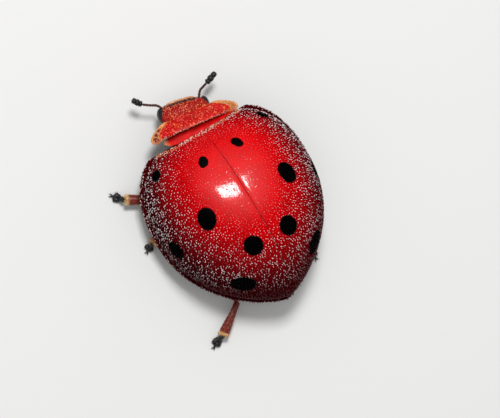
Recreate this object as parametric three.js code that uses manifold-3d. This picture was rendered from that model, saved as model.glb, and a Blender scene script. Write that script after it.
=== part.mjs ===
// A twelve-spotted plant-eating ladybird at life size, standing on six feet.
// Millimetres, +Z up. The head points along -Y and the animal's left side is +X.
// The origin is on the ground, on the midline, under the middle of the animal's length.

import * as THREE from 'three';
import Module from 'manifold-3d';
import { mergeVertices } from 'three/addons/utils/BufferGeometryUtils.js';

const wasm = await Module();
wasm.setup();

// ---------------------------------------------------------------- driving dimensions
// Stations along the body are measured from a point on the back, BODY_SHIFT behind which
// the middle of the whole animal lies, so the finished group is moved by that much.
const BODY_SHIFT = 0.62;
const GAP = 0.06; // clear space kept between neighbouring pieces

const RIM_Z = 0.95; // the rim of the wing cases, above the ground
const HALF_WIDTH = 3.15; // widest half of the body
const WIDEST_Y = -0.43;
const CROWN_Y = 0.65; // highest point of the dome
const FRONT_Y = -3.34; // front and rear ends of the rim's outline
const REAR_Y = 3.64;
const DOME_HEIGHT = 2.8; // dome above the rim
const SHELL = 0.5; // thickness of a wing case
const SUTURE = 0.04; // gap between the two wing cases
const CASE_FRONT_Y = -3.02; // the straight front edge of the wing cases

const FRONT_CURVE = { along: 2.14, across: 3.36 }; // shoulders are broad
const REAR_CURVE = { along: 2.17, across: 1.34 }; // the tail end is nearly a point
const DOME_CURVE = { along: 2.1, up: 2.24 };
const FLANGE = 0.04; // share of the radius that is flat rim

const SHIELD_TURN = -6.2; // degrees that the neck shield is turned about Z
const SHIELD_PIVOT_Y = -3.0;
const SHIELD_HIND_Y = -3.33;
const SHIELD_PLATE = 0.36; // thickness of the neck shield
const HEAD_TURN = -12.9;
const HEAD_PIVOT_Y = -3.8;

const CUT = 20; // side of a block that is larger than the animal

// ---------------------------------------------------------------- materials
const finish = (color, roughness) => new THREE.MeshStandardMaterial({ color, roughness, metalness: 0 });
const redShell = finish('#b3121a', 0.35);
const redSkin = finish('#8a1a12', 0.5);
const darkSkin = finish('#3a1210', 0.55);
const legRed = finish('#7a2012', 0.45);
const footBlack = finish('#16100e', 0.55);
const eyeBlack = finish('#060505', 0.15);

// ---------------------------------------------------------------- helpers

/** Keeps positions only, joins shared corners and drops faces that have no area. */
function welded(geometry) {
  const bare = geometry.clone();
  bare.deleteAttribute('normal');
  bare.deleteAttribute('uv');
  const joined = mergeVertices(bare, 1e-4);
  const corners = joined.index.array;
  const kept = [];
  for (let i = 0; i < corners.length; i += 3) {
    const [a, b, c] = [corners[i], corners[i + 1], corners[i + 2]];
    if (a !== b && b !== c && c !== a) kept.push(a, b, c);
  }
  joined.setIndex(kept);
  return joined;
}

/** A closed geometry as a solid that can be cut and joined. */
function solid(geometry) {
  const joined = welded(geometry);
  const mesh = new wasm.Mesh({
    numProp: 3,
    vertProperties: new Float32Array(joined.attributes.position.array),
    triVerts: new Uint32Array(joined.index.array),
  });
  return new wasm.Manifold(mesh);
}

/** A solid as a geometry. */
function geometryOf(body) {
  const mesh = body.getMesh();
  const geometry = new THREE.BufferGeometry();
  geometry.setAttribute('position', new THREE.BufferAttribute(new Float32Array(mesh.vertProperties), 3));
  geometry.setIndex(new THREE.BufferAttribute(new Uint32Array(mesh.triVerts), 1));
  return geometry;
}

/** Moves every corner of a geometry to where place(point) puts it. */
function warp(geometry, place) {
  const position = geometry.attributes.position;
  const point = new THREE.Vector3();
  for (let i = 0; i < position.count; i++) {
    place(point.fromBufferAttribute(position, i));
    position.setXYZ(i, point.x, point.y, point.z);
  }
  return geometry;
}

/** A box given by its lowest and highest corners. */
function block(low, high) {
  const size = high.map((value, axis) => value - low[axis]);
  const geometry = new THREE.BoxGeometry(...size);
  geometry.translate(...low.map((value, axis) => value + size[axis] / 2));
  return geometry;
}

/** A geometry turned about a vertical line through (0, pivotY). */
function turned(geometry, degrees, pivotY) {
  geometry.translate(0, -pivotY, 0);
  geometry.rotateZ(THREE.MathUtils.degToRad(degrees));
  geometry.translate(0, pivotY, 0);
  return geometry;
}

/** A point a given distance back from the end of a line; beyond the end when it is negative. */
function shortOf(from, to, distance) {
  const start = new THREE.Vector3(...from);
  const end = new THREE.Vector3(...to);
  const step = end.clone().sub(start).normalize().multiplyScalar(distance);
  return end.sub(step).toArray();
}

const mix = THREE.MathUtils.lerp;
const smooth = THREE.MathUtils.smoothstep;

// ---------------------------------------------------------------- the body's outline

/** Half the body's width at a station along it. */
function halfWidth(y) {
  const ahead = y < WIDEST_Y;
  const curve = ahead ? FRONT_CURVE : REAR_CURVE;
  const reach = ahead ? FRONT_Y - WIDEST_Y : REAR_Y - WIDEST_Y;
  const share = Math.min(1, (y - WIDEST_Y) / reach);
  return HALF_WIDTH * (1 - share ** curve.along) ** (1 / curve.across);
}

/** Lays a turned unit form over the body's outline: radius 1 goes to the rim. */
function spreadToOutline(point) {
  const [lateral, height, ahead] = [point.x, point.y, point.z];
  const radius = Math.hypot(lateral, ahead);
  if (radius < 1e-6) return point.set(0, CROWN_Y, height);
  const toward = Math.max(-1, Math.min(1, ahead / radius));
  const rimY = toward > 0 ? mix(WIDEST_Y, FRONT_Y, toward) : mix(WIDEST_Y, REAR_Y, -toward);
  const side = Math.abs(lateral) < 1e-6 * radius ? 0 : Math.sign(lateral);
  return point.set(side * halfWidth(rimY) * radius, mix(CROWN_Y, rimY, radius), height);
}

/** Height of a dome of unit radius above its foot. */
function domeHeight(radius, height) {
  return height * Math.max(0, 1 - radius ** DOME_CURVE.along) ** (1 / DOME_CURVE.up);
}

/** Points [radius, height] of a dome's profile, from the crown to its foot. */
function domeProfile(foot, height, base, steps) {
  const points = [];
  for (let i = 0; i <= steps; i++) {
    const share = Math.sin((i / steps) * (Math.PI / 2));
    points.push(new THREE.Vector2(share * foot, base + domeHeight(share, height)));
  }
  return points;
}

/** A closed profile turned about the vertical and laid over the body's outline. */
function outlineForm(profile, segments) {
  const downward = profile.slice().reverse();
  return warp(new THREE.LatheGeometry(downward, segments), spreadToOutline);
}

// ---------------------------------------------------------------- wing cases

const CASE_SEGMENTS = 44;
const RIM = { top: 0.1, edge: 0.06, under: 0.14, foldOuter: 0.995, foldInner: 0.9 };
const LIFT = { height: 0.25, fromY: -1.6, toY: -3.0, fade: 0.9 }; // how the rim rises to the shoulders
const HOLLOW = { share: 0.82, foot: 0.08 }; // the space inside the wing cases, at its foot

/** Both wing cases as one domed shell with a turned-under rim. */
function caseShell() {
  const outer = domeProfile(1 - FLANGE, DOME_HEIGHT - RIM.top, RIM_Z + RIM.top, 11);
  const inner = domeProfile(HOLLOW.share, DOME_HEIGHT - SHELL - HOLLOW.foot, RIM_Z + HOLLOW.foot, 7);
  inner.reverse();
  const rim = [
    new THREE.Vector2(1, RIM_Z + RIM.edge),
    new THREE.Vector2(RIM.foldOuter, RIM_Z - RIM.under),
    new THREE.Vector2(RIM.foldInner, RIM_Z - RIM.under),
  ];
  const shell = outlineForm([...outer, ...rim, ...inner], CASE_SEGMENTS);
  const lowest = RIM_Z - RIM.under;
  return solid(warp(shell, (point) => {
    const rise = LIFT.height * smooth(-point.y, -LIFT.fromY, -LIFT.toY);
    point.z += rise * Math.max(0, 1 - (point.z - lowest) / LIFT.fade);
  }));
}

/** Everything ahead of the wing cases' straight front edge. */
function caseFront() {
  return solid(block([-CUT, -CUT, -CUT], [CUT, CASE_FRONT_Y, CUT]));
}

/** One wing case; side is 1 for the left and -1 for the right. */
function wingCase(side) {
  const inner = side > 0 ? 0 : -CUT;
  const half = solid(block([inner, -CUT, -CUT], [inner + CUT, CUT, CUT]));
  const body = caseShell().intersect(half).subtract(caseFront()).subtract(solid(plateWedge(GAP)));
  const geometry = geometryOf(body);
  geometry.translate((side * SUTURE) / 2, 0, 0);
  return geometry;
}

// ---------------------------------------------------------------- trunk

const TRUNK_SEGMENTS = 32;
const TRUNK = { share: 0.78, foot: 0.08, clear: 0.12, bellyZ: 0.5, frontY: -3.0 };
// Two flattened balls widen the chest below: the breast between the hips, and the collar
// that closes the space between the fore-chest and the wing cases.
const BREAST = { y: -2.1, z: 0.62, half: 1.2, length: 0.95, depth: 0.12 };
const COLLAR = { y: -2.55, z: 0.72, half: 1.4, length: 0.66, depth: 0.23 };
const WAIST_Y = -0.05; // between the chest and the belly

/** A ball with its own half width, length and depth, grown by a margin on every side. */
function flatBall({ y, z, half, length, depth }, margin) {
  const form = new THREE.SphereGeometry(1, 18, 6);
  form.rotateX(Math.PI / 2);
  form.scale(half + margin, length + margin, depth + margin);
  form.translate(0, y, z);
  return solid(form);
}

/** Chest and belly in one, grown by a margin on every side. */
function trunkSolid(margin) {
  const foot = TRUNK.share + margin / HALF_WIDTH;
  const base = RIM_Z - TRUNK.foot;
  const height = DOME_HEIGHT - SHELL - TRUNK.clear + margin;
  const back = domeProfile(foot, height, base, 7);
  const belly = [];
  for (let i = 1; i <= 4; i++) {
    const share = Math.cos((i / 4) * (Math.PI / 2));
    const climb = 1 - Math.sqrt(1 - share ** 2);
    belly.push(new THREE.Vector2(share * foot, mix(TRUNK.bellyZ - margin, base, climb)));
  }
  const trunk = solid(outlineForm([...back, ...belly], TRUNK_SEGMENTS));
  return trunk.add(flatBall(BREAST, margin)).add(flatBall(COLLAR, margin));
}

/** The trunk between two stations. */
function trunkPart(fromY, toY) {
  return trunkSolid(0).intersect(solid(block([-CUT, fromY, -CUT], [CUT, toY, CUT])));
}

// ---------------------------------------------------------------- neck shield and waist ring

const SHIELD_SIDE = new THREE.CubicBezierCurve(
  new THREE.Vector2(1.0, -3.8),
  new THREE.Vector2(1.35, -3.72),
  new THREE.Vector2(1.98, -3.38),
  new THREE.Vector2(1.5, -3.2),
);
const SHIELD_FRONT_Y = -3.78; // middle of the hollowed front margin
const SHIELD_BOW = { front: 2.0, hind: 3.6 }; // how late a margin bends toward the side
const SHIELD_TOP = { front: 0.4, hind: 0.86 }; // above the rim's level, on the midline
const SHIELD_DROP = { front: 0.14, hind: 0.5, curve: 2.2 }; // how far the sides hang below it

/** The shield's plan: across is -1 to 1, along is 0 at its front margin and 1 at its hind margin. */
function shieldPlan(across, along) {
  const side = SHIELD_SIDE.getPoint(along);
  const middleY = mix(SHIELD_FRONT_Y, SHIELD_HIND_Y, along);
  const bow = mix(SHIELD_BOW.front, SHIELD_BOW.hind, along);
  return new THREE.Vector2(side.x * across, mix(middleY, side.y, Math.abs(across) ** bow));
}

/** Height of the shield's upper face. */
function shieldTop(across, along) {
  const ridge = mix(SHIELD_TOP.front, SHIELD_TOP.hind, Math.sin((along * Math.PI) / 2));
  const drop = mix(SHIELD_DROP.front, SHIELD_DROP.hind, along);
  return RIM_Z + ridge - drop * Math.abs(across) ** SHIELD_DROP.curve;
}

/** The shield as a plate; raise and sink move its upper and lower faces. */
function shieldPlate(raise, sink) {
  const plate = new THREE.BoxGeometry(2, 1, 1, 18, 7, 1);
  warp(plate, (point) => {
    const along = point.y + 0.5;
    const plan = shieldPlan(point.x, along);
    const top = shieldTop(point.x, along);
    return point.set(plan.x, plan.y, point.z > 0 ? top + raise : top - SHIELD_PLATE - sink);
  });
  return turned(plate, SHIELD_TURN, SHIELD_PIVOT_Y);
}

const RING = { left: 1.24, right: 0.7, deep: 0.22, frontZ: 0.6, hindZ: 0.8, sag: 0.28 };
const RING_TAPER = { front: 0.08, hind: 0.04 }; // how far its margins close in at the ends

/** The smooth ring between the shield's hind margin and the wing cases. */
function waistRing() {
  const turn = Math.tan(THREE.MathUtils.degToRad(SHIELD_TURN));
  const ring = new THREE.BoxGeometry(1, 1, 1, 10, 1, 1);
  warp(ring, (point) => {
    const x = mix(-RING.right, RING.left, point.x + 0.5);
    const share = x / RING.left;
    const hindY = CASE_FRONT_Y - GAP - RING_TAPER.hind * share ** 4;
    const frontY = SHIELD_HIND_Y + GAP + turn * x + RING_TAPER.front * share ** 4;
    const crest = RIM_Z + mix(RING.frontZ, RING.hindZ, point.y + 0.5) - RING.sag * share ** 2;
    return point.set(x, mix(frontY, hindY, point.y + 0.5), point.z > 0 ? crest : crest - RING.deep);
  });
  return ring;
}

// ---------------------------------------------------------------- small plate at the suture

const PLATE = { half: 0.26, length: 0.44 };

/** The triangle of the small plate between the wing cases' bases, grown by a margin. */
function plateWedge(margin) {
  const half = PLATE.half + margin;
  const outline = new THREE.Shape();
  outline.moveTo(-half, CASE_FRONT_Y - margin);
  outline.lineTo(half, CASE_FRONT_Y - margin);
  outline.lineTo(0, CASE_FRONT_Y + PLATE.length + margin);
  return new THREE.ExtrudeGeometry(outline, { depth: CUT, bevelEnabled: false });
}

// ---------------------------------------------------------------- fore-body under the shield

const FORE_CHEST = { half: 1.1, length: 0.42, depth: 0.46, y: -3.46, z: -0.06 };

/** The front part of the chest, between the shield above and the front legs below. */
function foreChest(margin) {
  const form = new THREE.SphereGeometry(1, 18, 10);
  form.rotateX(Math.PI / 2);
  form.scale(FORE_CHEST.half + margin, FORE_CHEST.length + margin, FORE_CHEST.depth + margin);
  form.translate(0, FORE_CHEST.y, RIM_Z + FORE_CHEST.z);
  turned(form, SHIELD_TURN, SHIELD_PIVOT_Y);
  return solid(form);
}

// ---------------------------------------------------------------- head

const HEAD = { half: 0.9, backY: -3.6, frontY: -4.32, top: 0.36, under: -0.42 };
// How far the front bends down, how much it narrows, and how square the corners are.
const BROW = { bow: 0.14, narrow: 0.94, square: 2.9 };
const EYE = { x: 0.82, y: -3.93, z: -0.06, half: [0.16, 0.29, 0.25] };
const MOUTH = { y: -4.02, z: -0.52, half: [0.32, 0.26, 0.24] };

/** The head capsule: broad and square above, bent down to the mouth in front. */
function headForm(margin) {
  const form = new THREE.SphereGeometry(1, 22, 14);
  form.rotateX(Math.PI / 2);
  const middleY = (HEAD.backY + HEAD.frontY) / 2;
  const middleZ = (HEAD.top + HEAD.under) / 2;
  const reachY = (HEAD.backY - HEAD.frontY) / 2 + margin;
  const reachZ = (HEAD.top - HEAD.under) / 2 + margin;
  warp(form, (point) => {
    const powers = point.toArray().map((value) => Math.abs(value) ** BROW.square);
    const size = powers.reduce((sum, value) => sum + value) ** (1 / BROW.square);
    const [x, y, z] = point.toArray().map((value) => value / size);
    const fore = smooth(-y, 0, 1);
    const wide = (HEAD.half + margin) * mix(1, BROW.narrow, fore);
    return point.set(x * wide, middleY + y * reachY, RIM_Z + middleZ + z * reachZ - BROW.bow * fore);
  });
  return turned(form, HEAD_TURN, HEAD_PIVOT_Y);
}

/** An eye, or its socket when it is grown by a margin. */
function eyeForm(side, margin) {
  const form = new THREE.SphereGeometry(1, 12, 9);
  form.scale(...EYE.half.map((value) => value + margin));
  form.translate(side * EYE.x, EYE.y, RIM_Z + EYE.z);
  return turned(form, HEAD_TURN, HEAD_PIVOT_Y);
}

/** Upper lip and jaws as one blunt piece under the front of the head. */
function mouthForm() {
  const form = new THREE.SphereGeometry(1, 12, 7);
  form.rotateX(Math.PI / 2);
  form.scale(...MOUTH.half);
  form.translate(0, MOUTH.y, RIM_Z + MOUTH.z);
  return turned(form, HEAD_TURN, HEAD_PIVOT_Y);
}

// ---------------------------------------------------------------- limbs

/** A limb segment from one point to another; girth(share) gives its half width and half depth. */
function segment(from, to, girth, sides = 10, rings = 6) {
  const start = new THREE.Vector3(...from);
  const end = new THREE.Vector3(...to);
  const length = start.distanceTo(end);
  const profile = [];
  for (let i = 0; i <= rings; i++) {
    profile.push(new THREE.Vector2(i === 0 || i === rings ? 0 : 1, i / rings));
  }
  const form = new THREE.LatheGeometry(profile, sides);
  warp(form, (point) => {
    const share = 0.5 - 0.5 * Math.cos(point.y * Math.PI);
    const [wide, deep] = girth(share);
    return point.set(point.x * wide, share * length, point.z * deep);
  });
  const along = end.clone().sub(start).normalize();
  const across = along.clone().cross(new THREE.Vector3(0, 0, 1)).normalize();
  const up = across.clone().cross(along);
  form.applyMatrix4(new THREE.Matrix4().makeBasis(across, along, up).setPosition(start));
  return form;
}

const END_GIRTH = 0.25; // girth of a segment's ends, as a share of its middle

/** Share of full girth along a segment: blunt at both ends and full between them. */
function blunt(share, sharpness) {
  const full = (1 - Math.abs(2 * share - 1) ** sharpness) ** (1 / sharpness);
  return mix(END_GIRTH, 1, full);
}

const FEMUR_HALF = 0.27;
const TIBIA_HALF = 0.25;
const TIBIA_FLARE = { knee: 0.88, ankle: 1.12, flat: 0.94 };
const FOOT = { half: 0.25, height: 0.42, sole: 0.035, toe: 0.8 };

/** A thigh, thickest in its middle. */
function femur(leg, margin) {
  const girth = (share) => {
    const half = (FEMUR_HALF + margin) * blunt(share, 2.4);
    return [half, half];
  };
  return solid(segment(leg.hip, leg.knee, girth));
}

/** A shin widens toward its far end. */
function tibia(leg, margin) {
  const girth = (share) => {
    const half = (TIBIA_HALF + margin) * blunt(share, 5);
    const flare = mix(TIBIA_FLARE.knee, TIBIA_FLARE.ankle, smooth(share, 0.4, 1));
    return [half * flare, half * mix(1, TIBIA_FLARE.flat, share)];
  };
  return solid(segment(leg.knee, leg.ankle, girth));
}

/** A foot lying on the ground, with a small flat sole. */
function foot(leg) {
  const middle = FOOT.height / 2 - FOOT.sole;
  const [heel, toe] = leg.foot.map(([x, y]) => [x, y, middle]);
  const girth = (share) => {
    const wide = FOOT.half * blunt(share, 2.6) * mix(1, FOOT.toe, share);
    return [wide, (FOOT.height / 2) * blunt(share, 3)];
  };
  const form = segment(heel, toe, girth, 10, 7);
  return solid(form).subtract(solid(block([-CUT, -CUT, -CUT], [CUT, CUT, 0])));
}

// Joints of each leg: hip, knee, ankle, and the two ends of the foot on the ground.
const LEGS = {
  left_front: {
    hip: [0.6, -3.0, 0.4],
    knee: [1.82, -1.4, 0.42],
    ankle: [3.26, -2.18, 0.42],
    foot: [[3.2, -2.1], [3.36, -2.58]],
  },
  left_middle: {
    hip: [0.8, -1.7, 0.4],
    knee: [1.95, -0.72, 0.42],
    ankle: [3.06, -0.42, 0.42],
    foot: [[3.06, -0.54], [3.3, -0.02]],
  },
  left_hind: {
    hip: [0.95, 0.6, 0.4],
    knee: [1.5, 2.92, 0.42],
    ankle: [2.54, 3.7, 0.42],
    foot: [[2.52, 3.6], [2.88, 3.98]],
  },
  right_front: {
    hip: [-0.6, -2.9, 0.4],
    knee: [-1.72, -1.5, 0.42],
    ankle: [-2.55, -1.96, 0.42],
    foot: [[-2.52, -1.9], [-2.66, -2.44]],
  },
  right_middle: {
    hip: [-0.8, -1.5, 0.4],
    knee: [-1.9, -0.52, 0.42],
    ankle: [-2.93, -0.26, 0.42],
    foot: [[-2.9, -0.24], [-3.04, 0.28]],
  },
  right_hind: {
    hip: [-0.85, 0.5, 0.4],
    knee: [-1.6, 1.7, 0.42],
    ankle: [-1.74, 2.62, 0.42],
    foot: [[-1.74, 2.54], [-1.78, 3.1]],
  },
};

// ---------------------------------------------------------------- feelers

const STALK_HALF = 0.24;
const CLUB_HALF = 0.25;
const SOCKET = 0.02; // clear space round an eye in the head
// Points along each feeler: four of the stalk's, and last the club's tip.
const FEELERS = {
  left: [
    [0.5, -4.2, 0.92],
    [0.72, -4.47, 0.95],
    [0.94, -4.64, 0.97],
    [1.13, -4.79, 0.97],
    [1.42, -5.17, 0.98],
  ],
  right: [
    [-0.6, -3.98, 0.92],
    [-0.74, -4.14, 0.95],
    [-0.88, -4.24, 0.97],
    [-1.1, -4.31, 0.97],
    [-1.68, -4.54, 0.98],
  ],
};

/** A feeler's stalk: a tube along its first joints. */
function stalk(points) {
  const path = new THREE.CatmullRomCurve3(points.map((point) => new THREE.Vector3(...point)));
  const section = new THREE.Shape();
  section.absarc(0, 0, STALK_HALF, 0, 2 * Math.PI);
  return solid(new THREE.ExtrudeGeometry(section, { steps: 5, curveSegments: 5, extrudePath: path }));
}

// ---------------------------------------------------------------- the animal

const ladybird = new THREE.Group();
ladybird.position.y = BODY_SHIFT;

/** Puts a named piece on the animal. */
function add(name, body, material) {
  const mesh = new THREE.Mesh(body.isBufferGeometry ? body : geometryOf(body), material.clone());
  mesh.name = name;
  ladybird.add(mesh);
}

const SIDES = { left: 1, right: -1 };
const aboveShieldFoot = solid(shieldPlate(CUT, GAP));
const trunkGrown = trunkSolid(GAP);
const foreGrown = foreChest(GAP);

for (const [name, side] of Object.entries(SIDES)) add(`wing_case_${name}`, wingCase(side), redShell);
add('small_plate', caseShell().subtract(caseFront()).intersect(solid(plateWedge(0))), redShell);
add('neck_shield', shieldPlate(0, 0), redShell);
add('waist_ring', waistRing(), redShell);

const behindFore = solid(block([-CUT, TRUNK.frontY - GAP, -CUT], [CUT, CUT, CUT]));
add('fore_chest', foreChest(0).subtract(aboveShieldFoot).subtract(behindFore), darkSkin);
add('chest', trunkPart(TRUNK.frontY, WAIST_Y - GAP / 2), darkSkin);
add('belly', trunkPart(WAIST_Y + GAP / 2, CUT), darkSkin);

let head = solid(headForm(0)).subtract(foreGrown).subtract(aboveShieldFoot);
for (const side of Object.values(SIDES)) head = head.subtract(solid(eyeForm(side, SOCKET)));
add('head', head, redSkin);
const headGrown = solid(headForm(GAP));
add('mouth', solid(mouthForm()).subtract(headGrown).subtract(foreGrown), redSkin);

for (const [name, side] of Object.entries(SIDES)) {
  add(`eye_${name}`, solid(eyeForm(side, 0)).subtract(aboveShieldFoot).subtract(foreGrown), eyeBlack);

  const points = FEELERS[name];
  const joint = points.length - 2;
  const socket = solid(eyeForm(side, GAP));
  const stem = stalk(points.slice(0, joint + 1)).subtract(headGrown).subtract(socket);
  add(`feeler_${name}_stalk`, stem, legRed);
  const clubGirth = (share) => Array(2).fill(CLUB_HALF * blunt(share, 4));
  const clubBase = shortOf(points[joint + 1], points[joint], -GAP);
  add(`feeler_${name}_club`, segment(clubBase, points[joint + 1], clubGirth), footBlack);
}

for (const [name, leg] of Object.entries(LEGS)) {
  add(`${name}_thigh`, femur(leg, 0).subtract(trunkGrown).subtract(foreGrown), legRed);
  add(`${name}_shin`, tibia(leg, 0).subtract(femur(leg, GAP)).subtract(trunkGrown), legRed);
  add(`${name}_foot`, foot(leg).subtract(tibia(leg, GAP)), footBlack);
}

export default ladybird;
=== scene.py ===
"""Dresses a twelve-spotted plant-eating ladybird that stands still on its six feet.

Sizes are in millimetres in the animal's own stations: +Z up, the head along -Y, its left
side +X, with zero height at the rim of the wing cases. One matrix turns them to metres.
"""

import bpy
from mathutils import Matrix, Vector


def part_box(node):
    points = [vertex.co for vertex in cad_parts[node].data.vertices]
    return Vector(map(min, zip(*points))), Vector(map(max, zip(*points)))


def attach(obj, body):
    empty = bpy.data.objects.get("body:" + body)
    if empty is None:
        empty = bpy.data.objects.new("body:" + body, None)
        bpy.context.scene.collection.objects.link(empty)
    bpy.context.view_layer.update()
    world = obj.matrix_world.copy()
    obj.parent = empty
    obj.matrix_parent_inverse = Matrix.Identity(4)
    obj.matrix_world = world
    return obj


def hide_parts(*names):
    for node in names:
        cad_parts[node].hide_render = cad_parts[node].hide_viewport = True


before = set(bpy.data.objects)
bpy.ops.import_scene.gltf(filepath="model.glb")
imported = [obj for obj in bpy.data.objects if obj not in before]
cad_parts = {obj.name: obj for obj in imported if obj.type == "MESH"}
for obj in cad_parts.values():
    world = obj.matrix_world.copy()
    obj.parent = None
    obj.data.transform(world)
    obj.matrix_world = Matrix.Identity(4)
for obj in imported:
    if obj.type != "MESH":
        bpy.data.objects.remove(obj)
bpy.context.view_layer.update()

import logging
import math
from collections.abc import Callable, Sequence
from dataclasses import dataclass, field
from enum import Enum

import bmesh
import bpy
import numpy as np
from mathutils import Matrix, Vector

Tree = bpy.types.NodeTree
Socket = bpy.types.NodeSocket
Mesh = bmesh.types.BMesh
Pair = tuple[float, float]
Triple = tuple[float, float, float]
Points = tuple[Pair, ...]
Route = tuple[Triple, ...]

LOG = logging.getLogger("ladybird")
MM = 0.001  # a millimetre in metres
ROOT = "root"  # the animal's one body

TINY = 1e-6  # a length that counts as none
WELD = 1e-5  # corners closer than this are one
CASE_FRONT = -3.02  # station of the wing cases' straight front edge
DOME_HEIGHT = 2.8  # crown of the wing cases above their rim
SUTURE_HALF = 0.013  # half the gap between the wing cases


class Side(Enum):
    """The animal's two sides, by the sign of X."""

    LEFT = 1
    RIGHT = -1

    @property
    def word(self) -> str:
        """The side's name, as the nodes spell it."""
        return self.name.lower()


def anchor() -> Vector:
    """Where the stations' zero point lies in the frame, in metres, from the left wing case's box."""
    low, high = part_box("wing_case_left")
    return Vector((0.0, low[1] - CASE_FRONT * MM, high[2] - DOME_HEIGHT * MM))


ANCHOR = anchor()
TO_FRAME = Matrix.Translation(ANCHOR) @ Matrix.Scale(MM, 4)
FLOOR = -ANCHOR.z / MM  # the ground's height in the stations


# ------------ numbers and colours


def linear(colour: str) -> tuple[float, float, float, float]:
    """Turns an sRGB hex colour to linear light.

    Args:
        colour: Six hex digits after a hash.

    Returns:
        Red, green, blue and an alpha of 1.
    """
    parts = [int(colour[i : i + 2], 16) / 255 for i in (1, 3, 5)]
    red, green, blue = (c / 12.92 if c <= 0.04045 else ((c + 0.055) / 1.055) ** 2.4 for c in parts)
    return (red, green, blue, 1.0)


def blend(low: float, high: float, share: float) -> float:
    """A value a share of the way from low to high."""
    return low + (high - low) * share


def rise(value: float, start: float, end: float) -> float:
    """Climbs smoothly from 0 at start to 1 at end."""
    share = min(1.0, max(0.0, (value - start) / (end - start)))
    return share * share * (3 - 2 * share)


def hump(value: float, centre: float, half: float) -> float:
    """A smooth bump of height 1 round a centre."""
    return math.exp(-(((value - centre) / half) ** 2))


@dataclass(frozen=True)
class Swell:
    """A smooth swelling or hollow: its height or depth, its middle and its half width."""

    height: float
    middle: float
    half: float

    def at(self, value: float) -> float:
        """Its height or depth at a value."""
        return self.height * hump(value, self.middle, self.half)


# ------------ the body's outline


@dataclass(frozen=True)
class Outline:
    """Plan and dome of the body, shared by the wing cases and the trunk.

    Attributes:
        half_width: Half of the widest part.
        widest: Station of the widest part.
        crown: Station of the highest point.
        front: Station of the outline's front end.
        rear: Station of the outline's rear end.
        front_curve: Powers that bend the outline ahead of its widest part, along and across the body.
        rear_curve: The same behind it. Both would be 2 on an ellipse.
        dome_curve: Powers that bend the dome, outwards and upwards.
        dome_foot: Share of the way to the rim at which the dome meets the gutter.
        rim_rise: Height of the dome's foot above the rim.
    """

    half_width: float = 3.15
    widest: float = -0.43
    crown: float = 0.65
    front: float = -3.34
    rear: float = 3.64
    front_curve: Pair = (2.14, 3.36)
    rear_curve: Pair = (2.17, 1.34)
    dome_curve: Pair = (2.1, 2.24)
    dome_foot: float = 0.96
    rim_rise: float = 0.1

    def half_at(self, y: float) -> float:
        """Half the body's width at a station.

        Args:
            y: Station along the body.

        Returns:
            The half width.
        """
        ahead = y < self.widest
        along, across = self.front_curve if ahead else self.rear_curve
        end = self.front if ahead else self.rear
        share = min(1.0, max(0.0, (y - self.widest) / (end - self.widest)))
        return self.half_width * (1 - share**along) ** (1 / across)

    def laid(self, point: Vector) -> Vector:
        """Lays a point of a turned form over the outline, where radius 1 is the rim.

        Args:
            point: A point whose distance from the upright axis is a share of the rim's.

        Returns:
            The point on the body, with its height kept.
        """
        radius = math.hypot(point.x, point.y)
        if radius < TINY:
            return Vector((0.0, self.crown, point.z))
        toward = -point.y / radius
        end = self.front if toward > 0 else self.rear
        rim_y = blend(self.widest, end, abs(toward))
        side = 0.0 if abs(point.x) < TINY * radius else math.copysign(1.0, point.x)
        return Vector((side * self.half_at(rim_y) * radius, blend(self.crown, rim_y, radius), point.z))

    def height(self, share: float, top: float) -> float:
        """Height of a dome of a given top, at a share of the way from the crown to its foot."""
        along, up = self.dome_curve
        return top * max(0.0, 1 - share**along) ** (1 / up)

    def share_at(self, x: float, y: float) -> float:
        """How far out a plan position lies, 0 at the crown and 1 at the rim.

        Args:
            x: Position across the body.
            y: Station along it.

        Returns:
            The share of the way to the rim.
        """
        low, high = 0.0, 1.2  # a little past the rim, and halved until both ends agree
        for _ in range(30):
            middle = (low + high) / 2
            rim_y = blend(self.crown, y, 1 / middle)
            outside = rim_y < self.front or rim_y > self.rear or abs(x) > middle * self.half_at(rim_y)
            low, high = (middle, high) if outside else (low, middle)
        return high

    def dome_z(self, x: float, y: float) -> float:
        """Height of the wing cases' outer face at a plan position."""
        share = min(1.0, self.share_at(x, y) / self.dome_foot)
        return self.rim_rise + self.height(share, DOME_HEIGHT - self.rim_rise)


OUTLINE = Outline()
# The wing cases' painted shade grows from the front of the back toward the flanks and the tail.
GLOW_MIDDLE = (0.0, -1.35, 2.1)  # middle of the bright front of the back
GLOW_REACH = (2.9, 3.9, 2.6)  # how far it reaches across, along and down
GLOW_FADE = (0.3, 1.15)  # shares of that reach between which it fades


def flank_share(place: Vector) -> float:
    """0 on the front of the back and 1 low on the flanks and the tail, the mask of the wing cases' painted
    shade.
    """
    return rise(math.hypot(*((v - m) / r for v, m, r in zip(place, GLOW_MIDDLE, GLOW_REACH))), *GLOW_FADE)


# ------------ mesh making


def spun(profile: Sequence[Pair], steps: int) -> Mesh:
    """Turns a profile of (radius, height) all the way round the upright axis.

    Args:
        profile: Points from the axis, outwards and back to it.
        steps: How many facets the full turn has.

    Returns:
        A closed mesh.
    """
    bm = bmesh.new()
    verts = [bm.verts.new((0.0, -radius, height)) for radius, height in profile]
    edges = [bm.edges.new(pair) for pair in zip(verts, verts[1:])]
    bmesh.ops.spin(
        bm, geom=verts + edges, cent=(0, 0, 0), axis=(0, 0, 1), dvec=(0, 0, 0),
        angle=math.tau, steps=steps, use_merge=True, use_duplicate=False,
    )
    bmesh.ops.remove_doubles(bm, verts=bm.verts, dist=WELD)
    bmesh.ops.recalc_face_normals(bm, faces=bm.faces)
    return bm


def ball(across: int, along: int) -> Mesh:
    """A sphere of radius 1 with its poles on the upright axis.

    Args:
        across: Facets round it.
        along: Facets from pole to pole.

    Returns:
        A closed mesh.
    """
    bm = bmesh.new()
    bmesh.ops.create_uvsphere(bm, u_segments=across, v_segments=along, radius=1.0)
    return bm


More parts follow.
